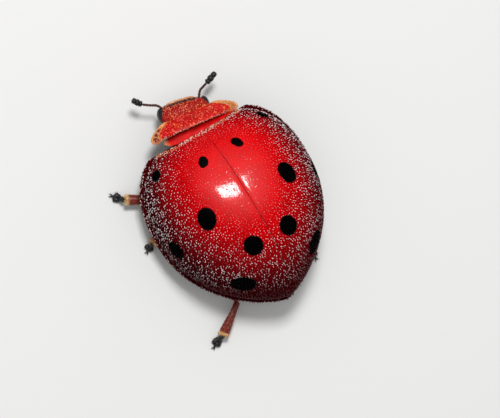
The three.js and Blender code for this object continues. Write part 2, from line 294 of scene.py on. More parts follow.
def squared(power: float) -> Callable[[Vector], Vector]:
    """What gives a unit ball squarer corners: a power of 2 leaves it, more squares it."""
    return lambda point: point / sum(abs(v) ** power for v in point) ** (1 / power)


def egg(
    facets: tuple[int, int], middle: Sequence[float], size: Sequence[float], power: float = 2.0
) -> Mesh:
    """A ball laid out to its sizes.

    Args:
        facets: Facets round it and from pole to pole.
        middle: Its middle.
        size: Its half sizes.
        power: 2 for a round one, and more for squarer corners.

    Returns:
        A closed mesh.
    """
    bm = ball(*facets)
    if power > 2.0:
        shift(bm, squared(power))
    return shift(bm, lambda point: Vector([m + v * s for m, v, s in zip(middle, point, size)]))


def shift(bm: Mesh, place: Callable[[Vector], Vector]) -> Mesh:
    """Moves every corner of a mesh to where a function puts it.

    Args:
        bm: The mesh.
        place: Gives a corner's new position.

    Returns:
        The same mesh.
    """
    for vert in bm.verts:
        vert.co = place(vert.co.copy())
    return bm


def turn_about(degrees: float, pivot_y: float) -> Matrix:
    """A turn about an upright line on the midline."""
    there = Matrix.Translation((0.0, pivot_y, 0.0))
    return there @ Matrix.Rotation(math.radians(degrees), 4, "Z") @ there.inverted()


RANK = Vector((1.0, 0.7548777, 0.5698403))  # weights that give each place in a mesh a rank of its own


def in_order(bm: Mesh) -> None:
    """Sorts a mesh's elements by place.

    The operators leave them in an order that changes from run to run, and the hair roots
    and the caps of cuts follow that order.

    Args:
        bm: The mesh.
    """
    bm.verts.sort(key=lambda vert: vert.co.dot(RANK))
    bm.verts.index_update()
    bm.edges.sort(key=lambda edge: (edge.verts[0].co + edge.verts[1].co).dot(RANK))
    bm.edges.index_update()
    bm.faces.sort(key=lambda face: face.calc_center_median().dot(RANK))
    bm.faces.index_update()


def cut(bm: Mesh, point: Sequence[float], normal: Sequence[float], close: bool = True) -> None:
    """Takes away what lies on a plane's far side, and closes the cut.

    Args:
        bm: The mesh.
        point: A point of the plane.
        normal: The plane's normal, towards what is taken away.
        close: Whether the opening gets a face.
    """
    geom = bm.verts[:] + bm.edges[:] + bm.faces[:]
    bmesh.ops.bisect_plane(bm, geom=geom, dist=WELD, plane_co=point, plane_no=normal, clear_outer=True)
    if close:
        in_order(bm)
        rim = [edge for edge in bm.edges if edge.is_boundary]
        bmesh.ops.triangle_fill(bm, edges=rim, use_beauty=True, use_dissolve=False)
        bmesh.ops.recalc_face_normals(bm, faces=bm.faces)


def score(bm: Mesh, point: Sequence[float], normal: Sequence[float]) -> None:
    """Adds a line of edges where a plane crosses a mesh."""
    geom = bm.verts[:] + bm.edges[:] + bm.faces[:]
    bmesh.ops.bisect_plane(bm, geom=geom, dist=WELD, plane_co=point, plane_no=normal)


@dataclass(frozen=True)
class Station:
    """A cross-section of a limb: its middle and its half width and half depth."""

    at: Vector
    wide: float
    deep: float


def smooth_path(points: Sequence[Sequence[float]], count: int) -> list[Vector]:
    """Points at even steps along a smooth curve through given ones.

    Args:
        points: What the curve passes through.
        count: How many points come back.

    Returns:
        The points, ends included.
    """
    knots = [Vector(point) for point in points]
    padded = [2 * knots[0] - knots[1], *knots, 2 * knots[-1] - knots[-2]]
    found = []
    for i in range(count):
        place = i / (count - 1) * (len(knots) - 1)
        span = min(int(place), len(knots) - 2)
        t = place - span
        a, b, c, d = padded[span : span + 4]
        even = 2 * b + (c - a) * t
        bend = (2 * a - 5 * b + 4 * c - d) * t**2
        found.append(0.5 * (even + bend + (3 * b - a - 3 * c + d) * t**3))
    return found


def swept(stations: Sequence[Station], sides: int) -> Mesh:
    """A closed limb through its cross-sections, by extruding a ring from one to the next.

    Args:
        stations: The cross-sections in order.
        sides: Corners of each ring.

    Returns:
        A closed mesh.
    """
    frames = []
    for i, station in enumerate(stations):
        before = stations[max(i - 1, 0)].at
        after = stations[min(i + 1, len(stations) - 1)].at
        along = (after - before).normalized()
        guide = Vector((0, 0, 1)) if abs(along.z) < 0.9 else Vector((0, 1, 0))
        across = along.cross(guide).normalized()
        up = across.cross(along)
        axes = Matrix((across * station.wide, up * station.deep, along * max(station.wide, 1e-3)))
        frames.append(Matrix.Translation(station.at) @ axes.transposed().to_4x4())
    bm = bmesh.new()
    ring = bmesh.ops.create_circle(bm, cap_ends=False, segments=sides, radius=1.0)["verts"]
    bmesh.ops.transform(bm, matrix=frames[0], verts=ring)
    edges = bm.edges[:]
    for before, after in zip(frames, frames[1:]):
        made = bmesh.ops.extrude_edge_only(bm, edges=edges)["geom"]
        ring = [item for item in made if isinstance(item, bmesh.types.BMVert)]
        drawn = [item for item in made if isinstance(item, bmesh.types.BMEdge)]
        edges = [edge for edge in drawn if all(vert in ring for vert in edge.verts)]
        bmesh.ops.transform(bm, matrix=after @ before.inverted(), verts=ring)
    bmesh.ops.holes_fill(bm, edges=[edge for edge in bm.edges if edge.is_boundary], sides=0)
    bmesh.ops.recalc_face_normals(bm, faces=bm.faces)
    return bm


def limb(
    points: Sequence[Sequence[float]], girth: Callable[[float], Pair], count: int, sides: int = 20
) -> Mesh:
    """A limb on a smooth path, with the girth at each share of its length, in count sections."""
    path = smooth_path(points, count)
    return swept([Station(at, *girth(i / (count - 1))) for i, at in enumerate(path)], sides)


def blunt(share: float, sharpness: float, least: float = 0.03) -> float:
    """Share of full girth along a limb whose ends are rounded off."""
    return least + (1 - least) * max(0.0, 1 - abs(2 * share - 1) ** sharpness) ** (1 / sharpness)


def rounded(wide: float, deep: float, sharpness: float, least: float) -> Callable[[float], Pair]:
    """Girth of an even limb, half as wide and half as deep as given, with rounded ends."""
    return lambda share: (wide * blunt(share, sharpness, least), deep * blunt(share, sharpness, least))


def bowed(start: Vector, end: Vector, height: float = 0.0, share: float = 0.5) -> list[Vector]:
    """Three points from one place to another, with the middle one raised by a height."""
    return [start, start.lerp(end, share) + Vector((0.0, 0.0, height)), end]


def joined(parts: Sequence[Mesh]) -> Mesh:
    """Several meshes as one.

    Args:
        parts: The meshes, which are used up.

    Returns:
        One mesh that holds them all.
    """
    whole = bmesh.new()
    for part in parts:
        mesh = bpy.data.meshes.new("part")
        part.to_mesh(mesh)
        part.free()
        whole.from_mesh(mesh)
        bpy.data.meshes.remove(mesh)
    return whole


def piece(
    name: str, bm: Mesh, finish: "Finish", nodes: Sequence[str], sharp: float = 50.0
) -> bpy.types.Object:
    """Makes a finished piece of the animal from a mesh in its stations.

    Args:
        name: The piece's name.
        bm: Its mesh, which is used up.
        finish: What it is made of.
        nodes: The solids it stands for.
        sharp: Edges that bend more than this many degrees stay crisp.

    Returns:
        The new object.
    """
    in_order(bm)
    bmesh.ops.transform(bm, matrix=TO_FRAME, verts=bm.verts)
    mesh = bpy.data.meshes.new(name)
    bm.to_mesh(mesh)
    bm.free()
    mesh.shade_smooth()
    mesh.set_sharp_from_angle(angle=math.radians(sharp))
    mesh.materials.append(finish.material())
    made = bpy.data.objects.new(name, mesh)
    bpy.context.scene.collection.objects.link(made)
    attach(made, ROOT)
    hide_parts(*nodes)
    LOG.info("%s: %d faces", name, len(mesh.polygons))
    return made


# ------------ finishes

FACTOR, FROM, TO, MIXED = 0, 6, 7, 2  # a colour Mix node's share, its two colours and its result


def node(tree: Tree, kind: str, inputs: dict | None = None, **settings: object) -> bpy.types.Node:
    """Adds a node with its settings, values and links.

    Args:
        tree: Where the node goes.
        kind: Its Blender type, less the "ShaderNode" that they all start with.
        inputs: Socket name or number to a value, or to the socket that feeds it.
        settings: The node's own settings.

    Returns:
        The node.
    """
    made = tree.nodes.new("ShaderNode" + kind)
    for name, value in settings.items():
        setattr(made, name, value)
    for socket, value in (inputs or {}).items():
        if isinstance(value, Socket):
            tree.links.new(value, made.inputs[socket])
        else:
            made.inputs[socket].default_value = value
    return made


@dataclass(frozen=True)
class Finish:
    """What a piece is made of. Each kind paints one material and keeps it by name."""

    name: str = "finish"

    def material(self) -> bpy.types.Material:
        """The material, made once.

        Returns:
            The material of this name.
        """
        known = bpy.data.materials.get(self.name)
        if known:
            return known
        made = bpy.data.materials.new(self.name)
        made.use_nodes = True
        tree = made.node_tree
        tree.nodes.clear()
        output = node(tree, "OutputMaterial")
        shader = self.paint(tree, self.stations(tree))
        tree.links.new(shader.outputs[0], output.inputs["Surface"])
        made.diffuse_color = linear(self.plain())
        return made

    def stations(self, tree: Tree) -> Socket:
        """Object coordinates as millimetres in the animal's stations, so that a scale is a count to 1 mm."""
        form = {0: node(tree, "TexCoord").outputs["Object"], "Location": ANCHOR, "Scale": (MM,) * 3}
        return node(tree, "Mapping", form, vector_type="TEXTURE").outputs[0]

    def plain(self) -> str:
        """The colour that stands for the finish where nodes aren't read."""
        return "#808080"

    def paint(self, tree: Tree, place: Socket) -> bpy.types.Node:
        """Adds the finish's nodes, fed by the position in the stations, and gives the shader."""
        raise NotImplementedError


@dataclass(frozen=True)
class Spot:
    """A black spot, given for the left side: its middle in plan, its half sizes and its turn in degrees."""

    x: float
    y: float
    half_x: float
    half_y: float
    half_z: float
    turn: float = 0.0

    def far(self, tree: Tree, place: Socket) -> Socket:
        """How far a place lies from the spot's middle, with 1 at its edge.

        Args:
            tree: The material's nodes.
            place: Position in the stations, with the right side folded over the left.

        Returns:
            The distance.
        """
        form = {
            "Location": (self.x, self.y, OUTLINE.dome_z(self.x, self.y)),
            "Rotation": (0.0, 0.0, math.radians(self.turn)),
            "Scale": (self.half_x, self.half_y, self.half_z),
        }
        sized = node(tree, "Mapping", {0: place, **form}, vector_type="TEXTURE").outputs[0]
        return node(tree, "VectorMath", {0: sized}, operation="LENGTH").outputs["Value"]


SPOTS = (
    Spot(0.693, -2.197, 0.165, 0.25, 0.24, -28.0),
    Spot(2.17, -2.497, 0.21, 0.24, 0.28),
    Spot(1.634, -0.466, 0.32, 0.41, 0.42, -12.0),
    Spot(2.851, 0.09, 0.3, 0.37, 0.36),
    Spot(0.709, 1.117, 0.35, 0.37, 0.4),
    Spot(1.476, 2.215, 0.5, 0.4, 0.44),
)
SPOT_STRAY = 0.09  # how far a spot's uneven edge wanders
STRAYS_PER_MM = 7.0


def spot_mask(tree: Tree, place: Socket, soft: float) -> Socket:
    """Where the black spots lie: 1 inside them and 0 outside.

    Args:
        tree: The material's nodes.
        place: Position in the stations.
        soft: Share of a spot's size over which its edge fades.

    Returns:
        The mask.
    """
    ragged = node(tree, "TexNoise", {"Vector": place, "Scale": STRAYS_PER_MM, "Detail": 2.0}).outputs["Color"]
    stray = node(tree, "VectorMath", {0: ragged, 1: (0.5, 0.5, 0.5)}, operation="SUBTRACT").outputs[0]
    stray = node(tree, "VectorMath", {0: stray, "Scale": SPOT_STRAY}, operation="SCALE").outputs[0]
    moved = node(tree, "VectorMath", {0: place, 1: stray}, operation="ADD").outputs[0]
    folded = node(tree, "VectorMath", {0: moved}, operation="ABSOLUTE").outputs[0]
    across = node(tree, "SeparateXYZ", {0: folded}).outputs
    along = node(tree, "SeparateXYZ", {0: moved}).outputs
    left = node(tree, "CombineXYZ", {0: across[0], 1: along[1], 2: along[2]}).outputs[0]
    nearest = SPOTS[0].far(tree, left)
    for spot in SPOTS[1:]:
        both = {0: nearest, 1: spot.far(tree, left)}
        nearest = node(tree, "Math", both, operation="MINIMUM").outputs[0]
    span = {"From Min": 1 - soft, "From Max": 1 + soft, "To Min": 1.0, "To Max": 0.0}
    return node(tree, "MapRange", {"Value": nearest, **span}, interpolation_type="SMOOTHSTEP").outputs[0]


def from_crown(tree: Tree, place: Socket) -> Socket:
    """What flank_share says, as nodes.

    Args:
        tree: The material's nodes.
        place: Position in the stations.

    Returns:
        0 on the front of the back, which the painted shade leaves bright, and 1 low on the flanks and the
        tail.
    """
    form = {"Location": GLOW_MIDDLE, "Scale": GLOW_REACH}
    sized = node(tree, "Mapping", {0: place, **form}, vector_type="TEXTURE").outputs[0]
    far = node(tree, "VectorMath", {0: sized}, operation="LENGTH").outputs["Value"]
    span = {"From Min": GLOW_FADE[0], "From Max": GLOW_FADE[1]}
    return node(tree, "MapRange", {"Value": far, **span}, interpolation_type="SMOOTHSTEP").outputs[0]


def clouded(
    tree: Tree, place: Socket, colour: Socket | Sequence[float], per_mm: float,
    noise: Pair, shades: Pair,
) -> Socket:
    """Makes a colour uneven in soft clouds.

    Args:
        tree: The material's nodes.
        place: Position in the stations.
        colour: The even colour.
        per_mm: How many clouds go to a millimetre.
        noise: The span of the noise that the clouds take up.
        shades: How much of the colour the darkest and the brightest cloud have.

    Returns:
        The clouded colour.
    """
    cloud = node(tree, "TexNoise", {"Vector": place, "Scale": per_mm, "Detail": 3.0}).outputs["Fac"]
    span = {"From Min": noise[0], "From Max": noise[1], "To Min": shades[0], "To Max": shades[1]}
    shade = node(tree, "MapRange", {"Value": cloud, **span}).outputs[0]
    return node(tree, "VectorMath", {0: colour, "Scale": shade}, operation="SCALE").outputs[0]


def freckled(tree: Tree, place: Socket, ground: Socket, tints: tuple[str, str]) -> Socket:
    """Strews small pale freckles of uneven size over a colour.

    Args:
        tree: The material's nodes.
        place: Position in the stations.
        ground: The colour between the freckles.
        tints: The two colours that freckles vary between.

    Returns:
        The freckled colour.
    """
    form = {"Scale": 13.0, "Detail": 2.0, "Roughness": 0.6, "Distortion": 0.6}
    speck = node(tree, "TexNoise", {"Vector": place, **form}).outputs["Fac"]
    cloud = node(tree, "TexNoise", {"Vector": place, "Scale": 3.5, "Detail": 2.0}).outputs["Fac"]
    both = node(tree, "Math", {0: cloud, 1: 0.35, 2: speck}, operation="MULTIPLY_ADD").outputs[0]
    span = {"From Min": 0.745, "From Max": 0.82, "To Max": 0.75}
    fleck = node(tree, "MapRange", {"Value": both, **span}, interpolation_type="SMOOTHSTEP").outputs[0]
    drift = node(tree, "TexNoise", {"Vector": place, "Scale": 2.2}).outputs["Fac"]
    warm = node(tree, "MapRange", {"Value": drift, "From Min": 0.42, "From Max": 0.58}).outputs[0]
    pair = {FACTOR: warm, FROM: linear(tints[0]), TO: linear(tints[1])}
    tint = node(tree, "Mix", pair, data_type="RGBA").outputs[MIXED]
    return node(tree, "Mix", {FACTOR: fleck, FROM: ground, TO: tint}, data_type="RGBA").outputs[MIXED]


def dented(tree: Tree, place: Socket) -> Socket:
    """The normal of coarse skin with 11 shallow dents to a millimetre."""
    dents = node(tree, "TexVoronoi", {"Vector": place, "Scale": 11.0}, feature="SMOOTH_F1").outputs[0]
    return node(tree, "Bump", {"Height": dents, "Strength": 0.5, "Distance": 0.012 * MM}).outputs[0]


@dataclass(frozen=True)
class WingCaseCuticle(Finish):
    """Hard, lacquer-like wing case: scarlet over the back, with painted shade that deepens it on the flanks,
    the tail and in the pits, and black spots.

    It gives the eye a wet gloss broken by fine pits, one to a hair. The gloss lies on the smooth
    crown, while hair and pits leave the flanks nearly matt.

    Attributes:
        name: The material's name.
        bright: Colour of the back.
        deep: Painted shade low on the flanks and the tail.
        black: Colour of the spots.
        spot_edge: Share of a spot's size over which its edge fades.
        pits_per_mm: How close the pits lie.
        grains_per_mm: How fine the grain between them is.
        rough: Roughness of the back and of the flanks.
        shine: Middle of the wet gloss.
        shine_reach: How far from it the gloss is strongest, and weakest.
        gloss: Its strengths there.
    """

    name: str = "wing_case_cuticle"
    bright: str = "#e0040a"
    deep: str = "#46040a"
    black: str = "#030304"
    spot_edge: float = 0.06
    pits_per_mm: float = 9.0
    grains_per_mm: float = 16.0
    rough: Pair = (0.28, 0.6)
    shine: Triple = (0.2, -1.0, 2.6)
    shine_reach: Pair = (0.75, 1.9)
    gloss: Pair = (0.6, 0.1)

    def plain(self) -> str:
        """The scarlet of the back."""
        return self.bright

    def red(self, tree: Tree, place: Socket, flank: Socket, pit: Socket) -> Socket:
        """The red between the spots.

        Args:
            tree: The material's nodes.
            place: Position in the stations.
            flank: 0 on the front of the back and 1 low on the flanks.
            pit: 0 in a pit and 1 between pits.

        Returns:
            The colour, uneven, with painted shade on the flanks and in the pits.
        """
        # Painted shade: the scarlet darkens to deep low on the flanks and the tail.
        ends = {FACTOR: flank, FROM: linear(self.bright), TO: linear(self.deep)}
        even = node(tree, "Mix", ends, data_type="RGBA").outputs[MIXED]
        uneven = clouded(tree, place, even, 1.6, (0.3, 0.7), (0.88, 1.1))
        # Painted shade in the pits.
        shade = node(tree, "MapRange", {"Value": pit, "To Min": 0.72, "To Max": 1.0}).outputs[0]
        return node(tree, "VectorMath", {0: uneven, "Scale": shade}, operation="SCALE").outputs[0]

    def wet(self, tree: Tree, place: Socket, flank: Socket) -> Socket:
        """How strong the gloss is.

        Args:
            tree: The material's nodes.
            place: Position in the stations.
            flank: 0 on the front of the back and 1 low on the flanks.

        Returns:
            The gloss, full on the crown and none where the flanks start.
        """
        near, far = self.shine_reach
        full, least = self.gloss
        away = node(tree, "VectorMath", {0: place, 1: self.shine}, operation="DISTANCE").outputs["Value"]
        span = {"From Min": near, "From Max": far, "To Min": full, "To Max": least}
        crown = node(tree, "MapRange", {"Value": away, **span}, interpolation_type="SMOOTHSTEP").outputs[0]
        edge = {"From Min": 0.03, "From Max": 0.3, "To Min": 1.0, "To Max": 0.0}
        smooth = node(tree, "MapRange", {"Value": flank, **edge}).outputs[0]
        return node(tree, "Math", {0: crown, 1: smooth}, operation="MULTIPLY").outputs[0]

    def paint(self, tree: Tree, place: Socket) -> bpy.types.Node:
        """Adds the finish's nodes.

        Args:
            tree: The material's nodes.
            place: Position in the stations.

        Returns:
            The shader.
        """
        flank = from_crown(tree, place)
        cells = {"Vector": place, "Scale": self.pits_per_mm, "Randomness": 0.85}
        away = node(tree, "TexVoronoi", cells).outputs["Distance"]
        span = {"From Min": 0.1, "From Max": 0.32}
        pit = node(tree, "MapRange", {"Value": away, **span}, interpolation_type="SMOOTHSTEP").outputs[0]
        spots = spot_mask(tree, place, self.spot_edge)
        both = {FACTOR: spots, FROM: self.red(tree, place, flank, pit), TO: linear(self.black)}
        colour = node(tree, "Mix", both, data_type="RGBA").outputs[MIXED]
        fine = {"Vector": place, "Scale": self.grains_per_mm, "Detail": 2.0}
        grain = node(tree, "TexNoise", fine).outputs["Fac"]
        height = node(tree, "Math", {0: grain, 1: 0.35, 2: pit}, operation="MULTIPLY_ADD").outputs[0]
        relief = {"Height": height, "Strength": 0.35, "Distance": 0.012 * MM}
        bump = node(tree, "Bump", relief).outputs[0]
        ends = {"To Min": self.rough[0], "To Max": self.rough[1]}
        rough = node(tree, "MapRange", {"Value": flank, **ends}).outputs[0]
        gloss = self.wet(tree, place, flank)
        coat = node(tree, "Mix", {0: spots, 2: gloss, 3: 0.0}, data_type="FLOAT").outputs[0]
        sheen = node(tree, "Math", {0: gloss, 1: 0.1}, operation="MULTIPLY").outputs[0]
        surface = {
            "Base Color": colour, "Roughness": rough, "Specular IOR Level": sheen, "IOR": 1.5, "Normal": bump,
            "Coat Weight": coat, "Coat Roughness": 0.09, "Coat IOR": 1.5, "Coat Normal": bump,
        }
        return node(tree, "BsdfPrincipled", surface)


@dataclass(frozen=True)
class ShieldCuticle(Finish):
    """Neck shield: hard red disc with thin side lobes that let amber light through.

    It gives the eye a red plate with pale freckles, yellow see-through corners and a pale rim.
    """

    name: str = "shield_cuticle"
    red: str = "#cc0608"
    amber: str = "#e89a58"
    cream: str = "#ffe8b4"
    patch: str = "#6e0804"
    freckles: tuple[str, str] = ("#ff5a4c", "#ff9454")

    def plain(self) -> str:
        """The red of the disc."""
        return self.red

    def paint(self, tree: Tree, place: Socket) -> bpy.types.Node:
        """Adds the finish's nodes.

        Args:
            tree: The material's nodes.
            place: Position in the stations.

        Returns:
            The shader.
        """
        lobe = node(tree, "Attribute", attribute_name="lobe").outputs["Fac"]
        patch = node(tree, "Attribute", attribute_name="patch").outputs["Fac"]
        disc = clouded(tree, place, linear(self.red)[:3], 3.4, (0.32, 0.68), (0.8, 1.12))
        disc = freckled(tree, place, disc, self.freckles)
        ends = {FACTOR: patch, FROM: linear(self.amber), TO: linear(self.patch)}
        side = node(tree, "Mix", ends, data_type="RGBA").outputs[MIXED]
        side = freckled(tree, place, side, (self.cream, self.amber))
        colour = node(tree, "Mix", {FACTOR: lobe, FROM: disc, TO: side}, data_type="RGBA").outputs[MIXED]
        surface = {
            "Base Color": colour, "Roughness": 0.44, "Specular IOR Level": 0.15, "IOR": 1.5,
            "Subsurface Weight": 0.15, "Subsurface Radius": (1.0, 0.35, 0.15), "Subsurface Scale": 0.15 * MM,
        }
        return node(tree, "BsdfPrincipled", {**surface, "Normal": dented(tree, place)})


@dataclass(frozen=True)
class HeadCuticle(Finish):
    """Head capsule: hard red-brown skin, freckled orange, with painted shade as a dark line in the groove
    before the lip.

    It gives the eye a rough red brow that ends in a dark edge of painted shade.
    """

    name: str = "head_cuticle"
    red: str = "#a00c0c"
    # Painted shade in the groove before the lip.
    dark: str = "#260604"
    freckles: tuple[str, str] = ("#ff7a4e", "#ffb26a")

    def plain(self) -> str:
        """The red of the brow."""
        return self.red

    def paint(self, tree: Tree, place: Socket) -> bpy.types.Node:
        """Adds the finish's nodes.

        Args:
            tree: The material's nodes.
            place: Position in the stations.

        Returns:
            The shader.
        """
        groove_shade = node(tree, "Attribute", attribute_name="groove_shade").outputs["Fac"]
        # Painted shade: the brow darkens along the groove before the lip.
        ends = {FACTOR: groove_shade, FROM: linear(self.red), TO: linear(self.dark)}
        brow = node(tree, "Mix", ends, data_type="RGBA").outputs[MIXED]
        speckled = freckled(tree, place, brow, self.freckles)
        bare = node(tree, "Math", {0: groove_shade, 1: 0.75}, operation="MULTIPLY").outputs[0]
        both = {FACTOR: bare, FROM: speckled, TO: brow}
        colour = node(tree, "Mix", both, data_type="RGBA").outputs[MIXED]
        surface = {"Base Color": colour, "Roughness": 0.55, "Specular IOR Level": 0.15}
        return node(tree, "BsdfPrincipled", {**surface, "Normal": dented(tree, place)})


@dataclass(frozen=True)
class PlainCuticle(Finish):
    """Hard skin of one colour, clouded and finely wrinkled, with an optional pale tip and optional painted
    shade.

    It gives the eye a satin, slightly see-through brown or black.

    Attributes:
        colour: The skin's colour.
        tip: Colour where the piece's `pale` attribute is 1.
        rough: Its roughness.
        coat: Strength of the clear layer over it.
    """

    colour: str = "#5e1410"
    tip: str = "#e8b47c"
    rough: float = 0.38
    coat: float = 0.2

    def plain(self) -> str:
        """The skin's colour."""
        return self.colour

    def paint(self, tree: Tree, place: Socket) -> bpy.types.Node:
        """Adds the finish's nodes.

        Args:
            tree: The material's nodes.
            place: Position in the stations.

        Returns:
            The shader.
        """
        skin = clouded(tree, place, linear(self.colour)[:3], 4.5, (0.3, 0.7), (0.7, 1.3))
        pale = node(tree, "Attribute", attribute_name="pale").outputs["Fac"]
        # Painted shade where the piece's dusk attribute is 1, down to 0.3 of the colour.
        painted_shade = node(tree, "Attribute", attribute_name="painted_shade").outputs["Fac"]
        shade = node(tree, "MapRange", {"Value": painted_shade, "To Min": 1.0, "To Max": 0.3}).outputs[0]
        skin = node(tree, "VectorMath", {0: skin, "Scale": shade}, operation="SCALE").outputs[0]
        ends = {FACTOR: pale, FROM: skin, TO: linear(self.tip)}
        colour = node(tree, "Mix", ends, data_type="RGBA").outputs[MIXED]
        grain = node(tree, "TexVoronoi", {"Vector": place, "Scale": 14.0}).outputs["Distance"]
        bump = node(tree, "Bump", {"Height": grain, "Strength": 0.3, "Distance": 0.01 * MM}).outputs[0]
        surface = {
            "Base Color": colour, "Roughness": self.rough, "Specular IOR Level": 0.25, "Normal": bump,
            "Coat Weight": self.coat, "Coat Roughness": 0.2,
        }
        return node(tree, "BsdfPrincipled", surface)


@dataclass(frozen=True)
class EyeLens(Finish):
    """Compound eye: black glassy facets in a close pattern.

    It gives the eye a black bead with a fine honeycomb and a sharp glint. Real facets are about
    0.02 mm across; these are 0.04 mm, so that they show.
    """

    name: str = "eye_lens"
    black: str = "#0a0706"
    facet: float = 0.04

    def plain(self) -> str:
        """The black of the lens."""
        return self.black

    def paint(self, tree: Tree, place: Socket) -> bpy.types.Node:
        """Adds the finish's nodes.

        Args:
            tree: The material's nodes.
            place: Position in the stations.

        Returns:
            The shader.
        """
        cells = {"Vector": place, "Scale": 1 / self.facet, "Randomness": 0.25}
        facets = node(tree, "TexVoronoi", cells).outputs["Distance"]
        domes = {"Height": facets, "Strength": 0.5, "Distance": 0.008 * MM}
        bump = node(tree, "Bump", domes, invert=True).outputs[0]
        surface = {
            "Base Color": linear(self.black), "Roughness": 0.16, "Specular IOR Level": 0.1, "Normal": bump,
            "Coat Weight": 0.4, "Coat Roughness": 0.06,
        }
        return node(tree, "BsdfPrincipled", surface)


@dataclass(frozen=True)
class ShortHair(Finish):
    """Short stiff hair, each either pale or faint.

    It gives the eye fine bright dashes. On the wing cases the bright hairs are painted glints: none on the
    smooth front of the back, fading towards the rear, the right and down, while the faint ones carry painted
    light on the front of the back and painted shade on the flanks; the hair is dark on the spots.

    Attributes:
        pale: Colour of the bright hairs.
        faint: Colour of the others; on the wing cases, their painted shade low on the flanks.
        lit: Painted lit colour of the others on the front of the back.
        dark: Colour of the hair on the spots.
        marked: Whether it grows on the wing cases and follows their marks.
        glint_falloff: The way in which the painted glints of the bright hairs die out: back, down and to the
            right.
    """

    pale: str = "#fff0f0"
    faint: str = "#5e0a12"
    lit: str = "#f2545a"
    dark: str = "#060506"
    marked: bool = False
    glint_falloff: Triple = (-0.3, 0.85, -1.5)

    def plain(self) -> str:
        """The pale hair's colour."""
        return self.pale

    def on_marks(self, tree: Tree, place: Socket, bright: Socket) -> Socket:
        """Colour of the hair on the wing cases, with painted glints and painted light and shade.

        Args:
            tree: The material's nodes.
            place: Position in the stations.
            bright: 1 for a bright hair and 0 for a faint one.

        Returns:
            The colour.
        """
        crown = from_crown(tree, place)
        # Painted glints: no bright hairs on the smooth front of the back.
        flank = node(tree, "MapRange", {"Value": crown, "From Max": 0.45}).outputs[0]
        bright = node(tree, "Math", {0: bright, 1: flank}, operation="MULTIPLY").outputs[0]
        # Painted glints die out toward the rear, the right and down.
        low = node(tree, "VectorMath", {0: place, 1: self.glint_falloff}, operation="DOT_PRODUCT").outputs["Value"]
        span = {"From Min": -2.2, "From Max": 0.2, "To Min": 1.0, "To Max": 0.1}
        glints_shown = node(tree, "MapRange", {"Value": low, **span}).outputs[0]
        bright = node(tree, "Math", {0: bright, 1: glints_shown}, operation="MULTIPLY").outputs[0]
        # Painted light on the faint hairs of the front of the back, painted shade low on the flanks.
        ends = {FACTOR: crown, FROM: linear(self.lit), TO: linear(self.faint)}
        ground = node(tree, "Mix", ends, data_type="RGBA").outputs[MIXED]
        both = {FACTOR: bright, FROM: ground, TO: linear(self.pale)}
        hair = node(tree, "Mix", both, data_type="RGBA").outputs[MIXED]
        spotted = {FACTOR: spot_mask(tree, place, 0.12), FROM: hair, TO: linear(self.dark)}
        return node(tree, "Mix", spotted, data_type="RGBA").outputs[MIXED]

    def paint(self, tree: Tree, place: Socket) -> bpy.types.Node:
        """Adds the finish's nodes.

        Args:
            tree: The material's nodes.
            place: Position in the stations.

        Returns:
            The shader.
        """
        cells = node(tree, "TexVoronoi", {"Vector": place, "Scale": 10.0}).outputs["Color"]
        draw = node(tree, "SeparateColor", {0: cells}).outputs[0]
        bright = node(tree, "MapRange", {"Value": draw, "From Min": 0.35, "From Max": 0.6}).outputs[0]
        if self.marked:
            colour = self.on_marks(tree, place, bright)
        else:
            both = {FACTOR: bright, FROM: linear(self.faint), TO: linear(self.pale)}
            colour = node(tree, "Mix", both, data_type="RGBA").outputs[MIXED]
        surface = {"Base Color": colour, "Roughness": 0.3, "Specular IOR Level": 0.06}
        return node(tree, "BsdfPrincipled", surface)


def seen_ray(tree: Tree) -> Socket:
    """1 for a camera ray, a mirrored one or one that is let through, and 0 for the rest.

    Args:
        tree: The nodes of a material or of the world.

    Returns:
        The mark.
    """
    rays = node(tree, "LightPath").outputs
    pair = {0: rays["Is Glossy Ray"], 1: rays["Is Transmission Ray"]}
    shone = node(tree, "Math", pair, operation="MAXIMUM").outputs[0]
    return node(tree, "Math", {0: rays["Is Camera Ray"], 1: shone}, operation="MAXIMUM").outputs[0]


@dataclass(frozen=True)
class StudioPaper(Finish):
    """Matt white paper under the animal. It gives the eye a plain pale ground with a soft shadow.

    Attributes:
        name: The material's name.
        white: The paper as it is seen.
        bounced: The darker paper that lights the animal's underside.
    """

    name: str = "studio_paper"
    white: str = "#ededeb"
    bounced: str = "#404040"

    def plain(self) -> str:
        """The paper's white."""
        return self.white

    def paint(self, tree: Tree, place: Socket) -> bpy.types.Node:
        """Adds the finish's nodes.

        Args:
            tree: The material's nodes.
            place: Position in the stations, which plain paper has no use for.

        Returns:
            The shader.
        """
        both = {FACTOR: seen_ray(tree), FROM: linear(self.bounced), TO: linear(self.white)}
        colour = node(tree, "Mix", both, data_type="RGBA").outputs[MIXED]
        surface = {"Base Color": colour, "Roughness": 0.9, "Specular IOR Level": 0.1}
        return node(tree, "BsdfPrincipled", surface)


CASE_SKIN = WingCaseCuticle()
SHIELD_SKIN = ShieldCuticle()
HEAD_SKIN = HeadCuticle()
RING_SKIN = PlainCuticle(name="ring_cuticle", colour="#dc0e10", tip="#e8935a", rough=0.3, coat=0.1)
BELLY_SKIN = PlainCuticle(name="belly_cuticle", colour="#3c100c", rough=0.45)
STALK_SKIN = PlainCuticle(name="stalk_cuticle", colour="#40190e", rough=0.4, coat=0.1)
LIMB_SKIN = PlainCuticle(name="limb_cuticle", colour="#6c1a0a", rough=0.34, coat=0.12)
FOOT_SKIN = PlainCuticle(name="foot_cuticle", colour="#0e0a0b", rough=0.42)
LIP_SKIN = PlainCuticle(name="lip_cuticle", colour="#d08e5c", rough=0.4)
EYE_SKIN = EyeLens()
CASE_HAIR = ShortHair(name="wing_case_hair", marked=True)
MARGIN_HAIR = ShortHair(name="margin_hair", pale="#fff0e2", faint="#ff9466")
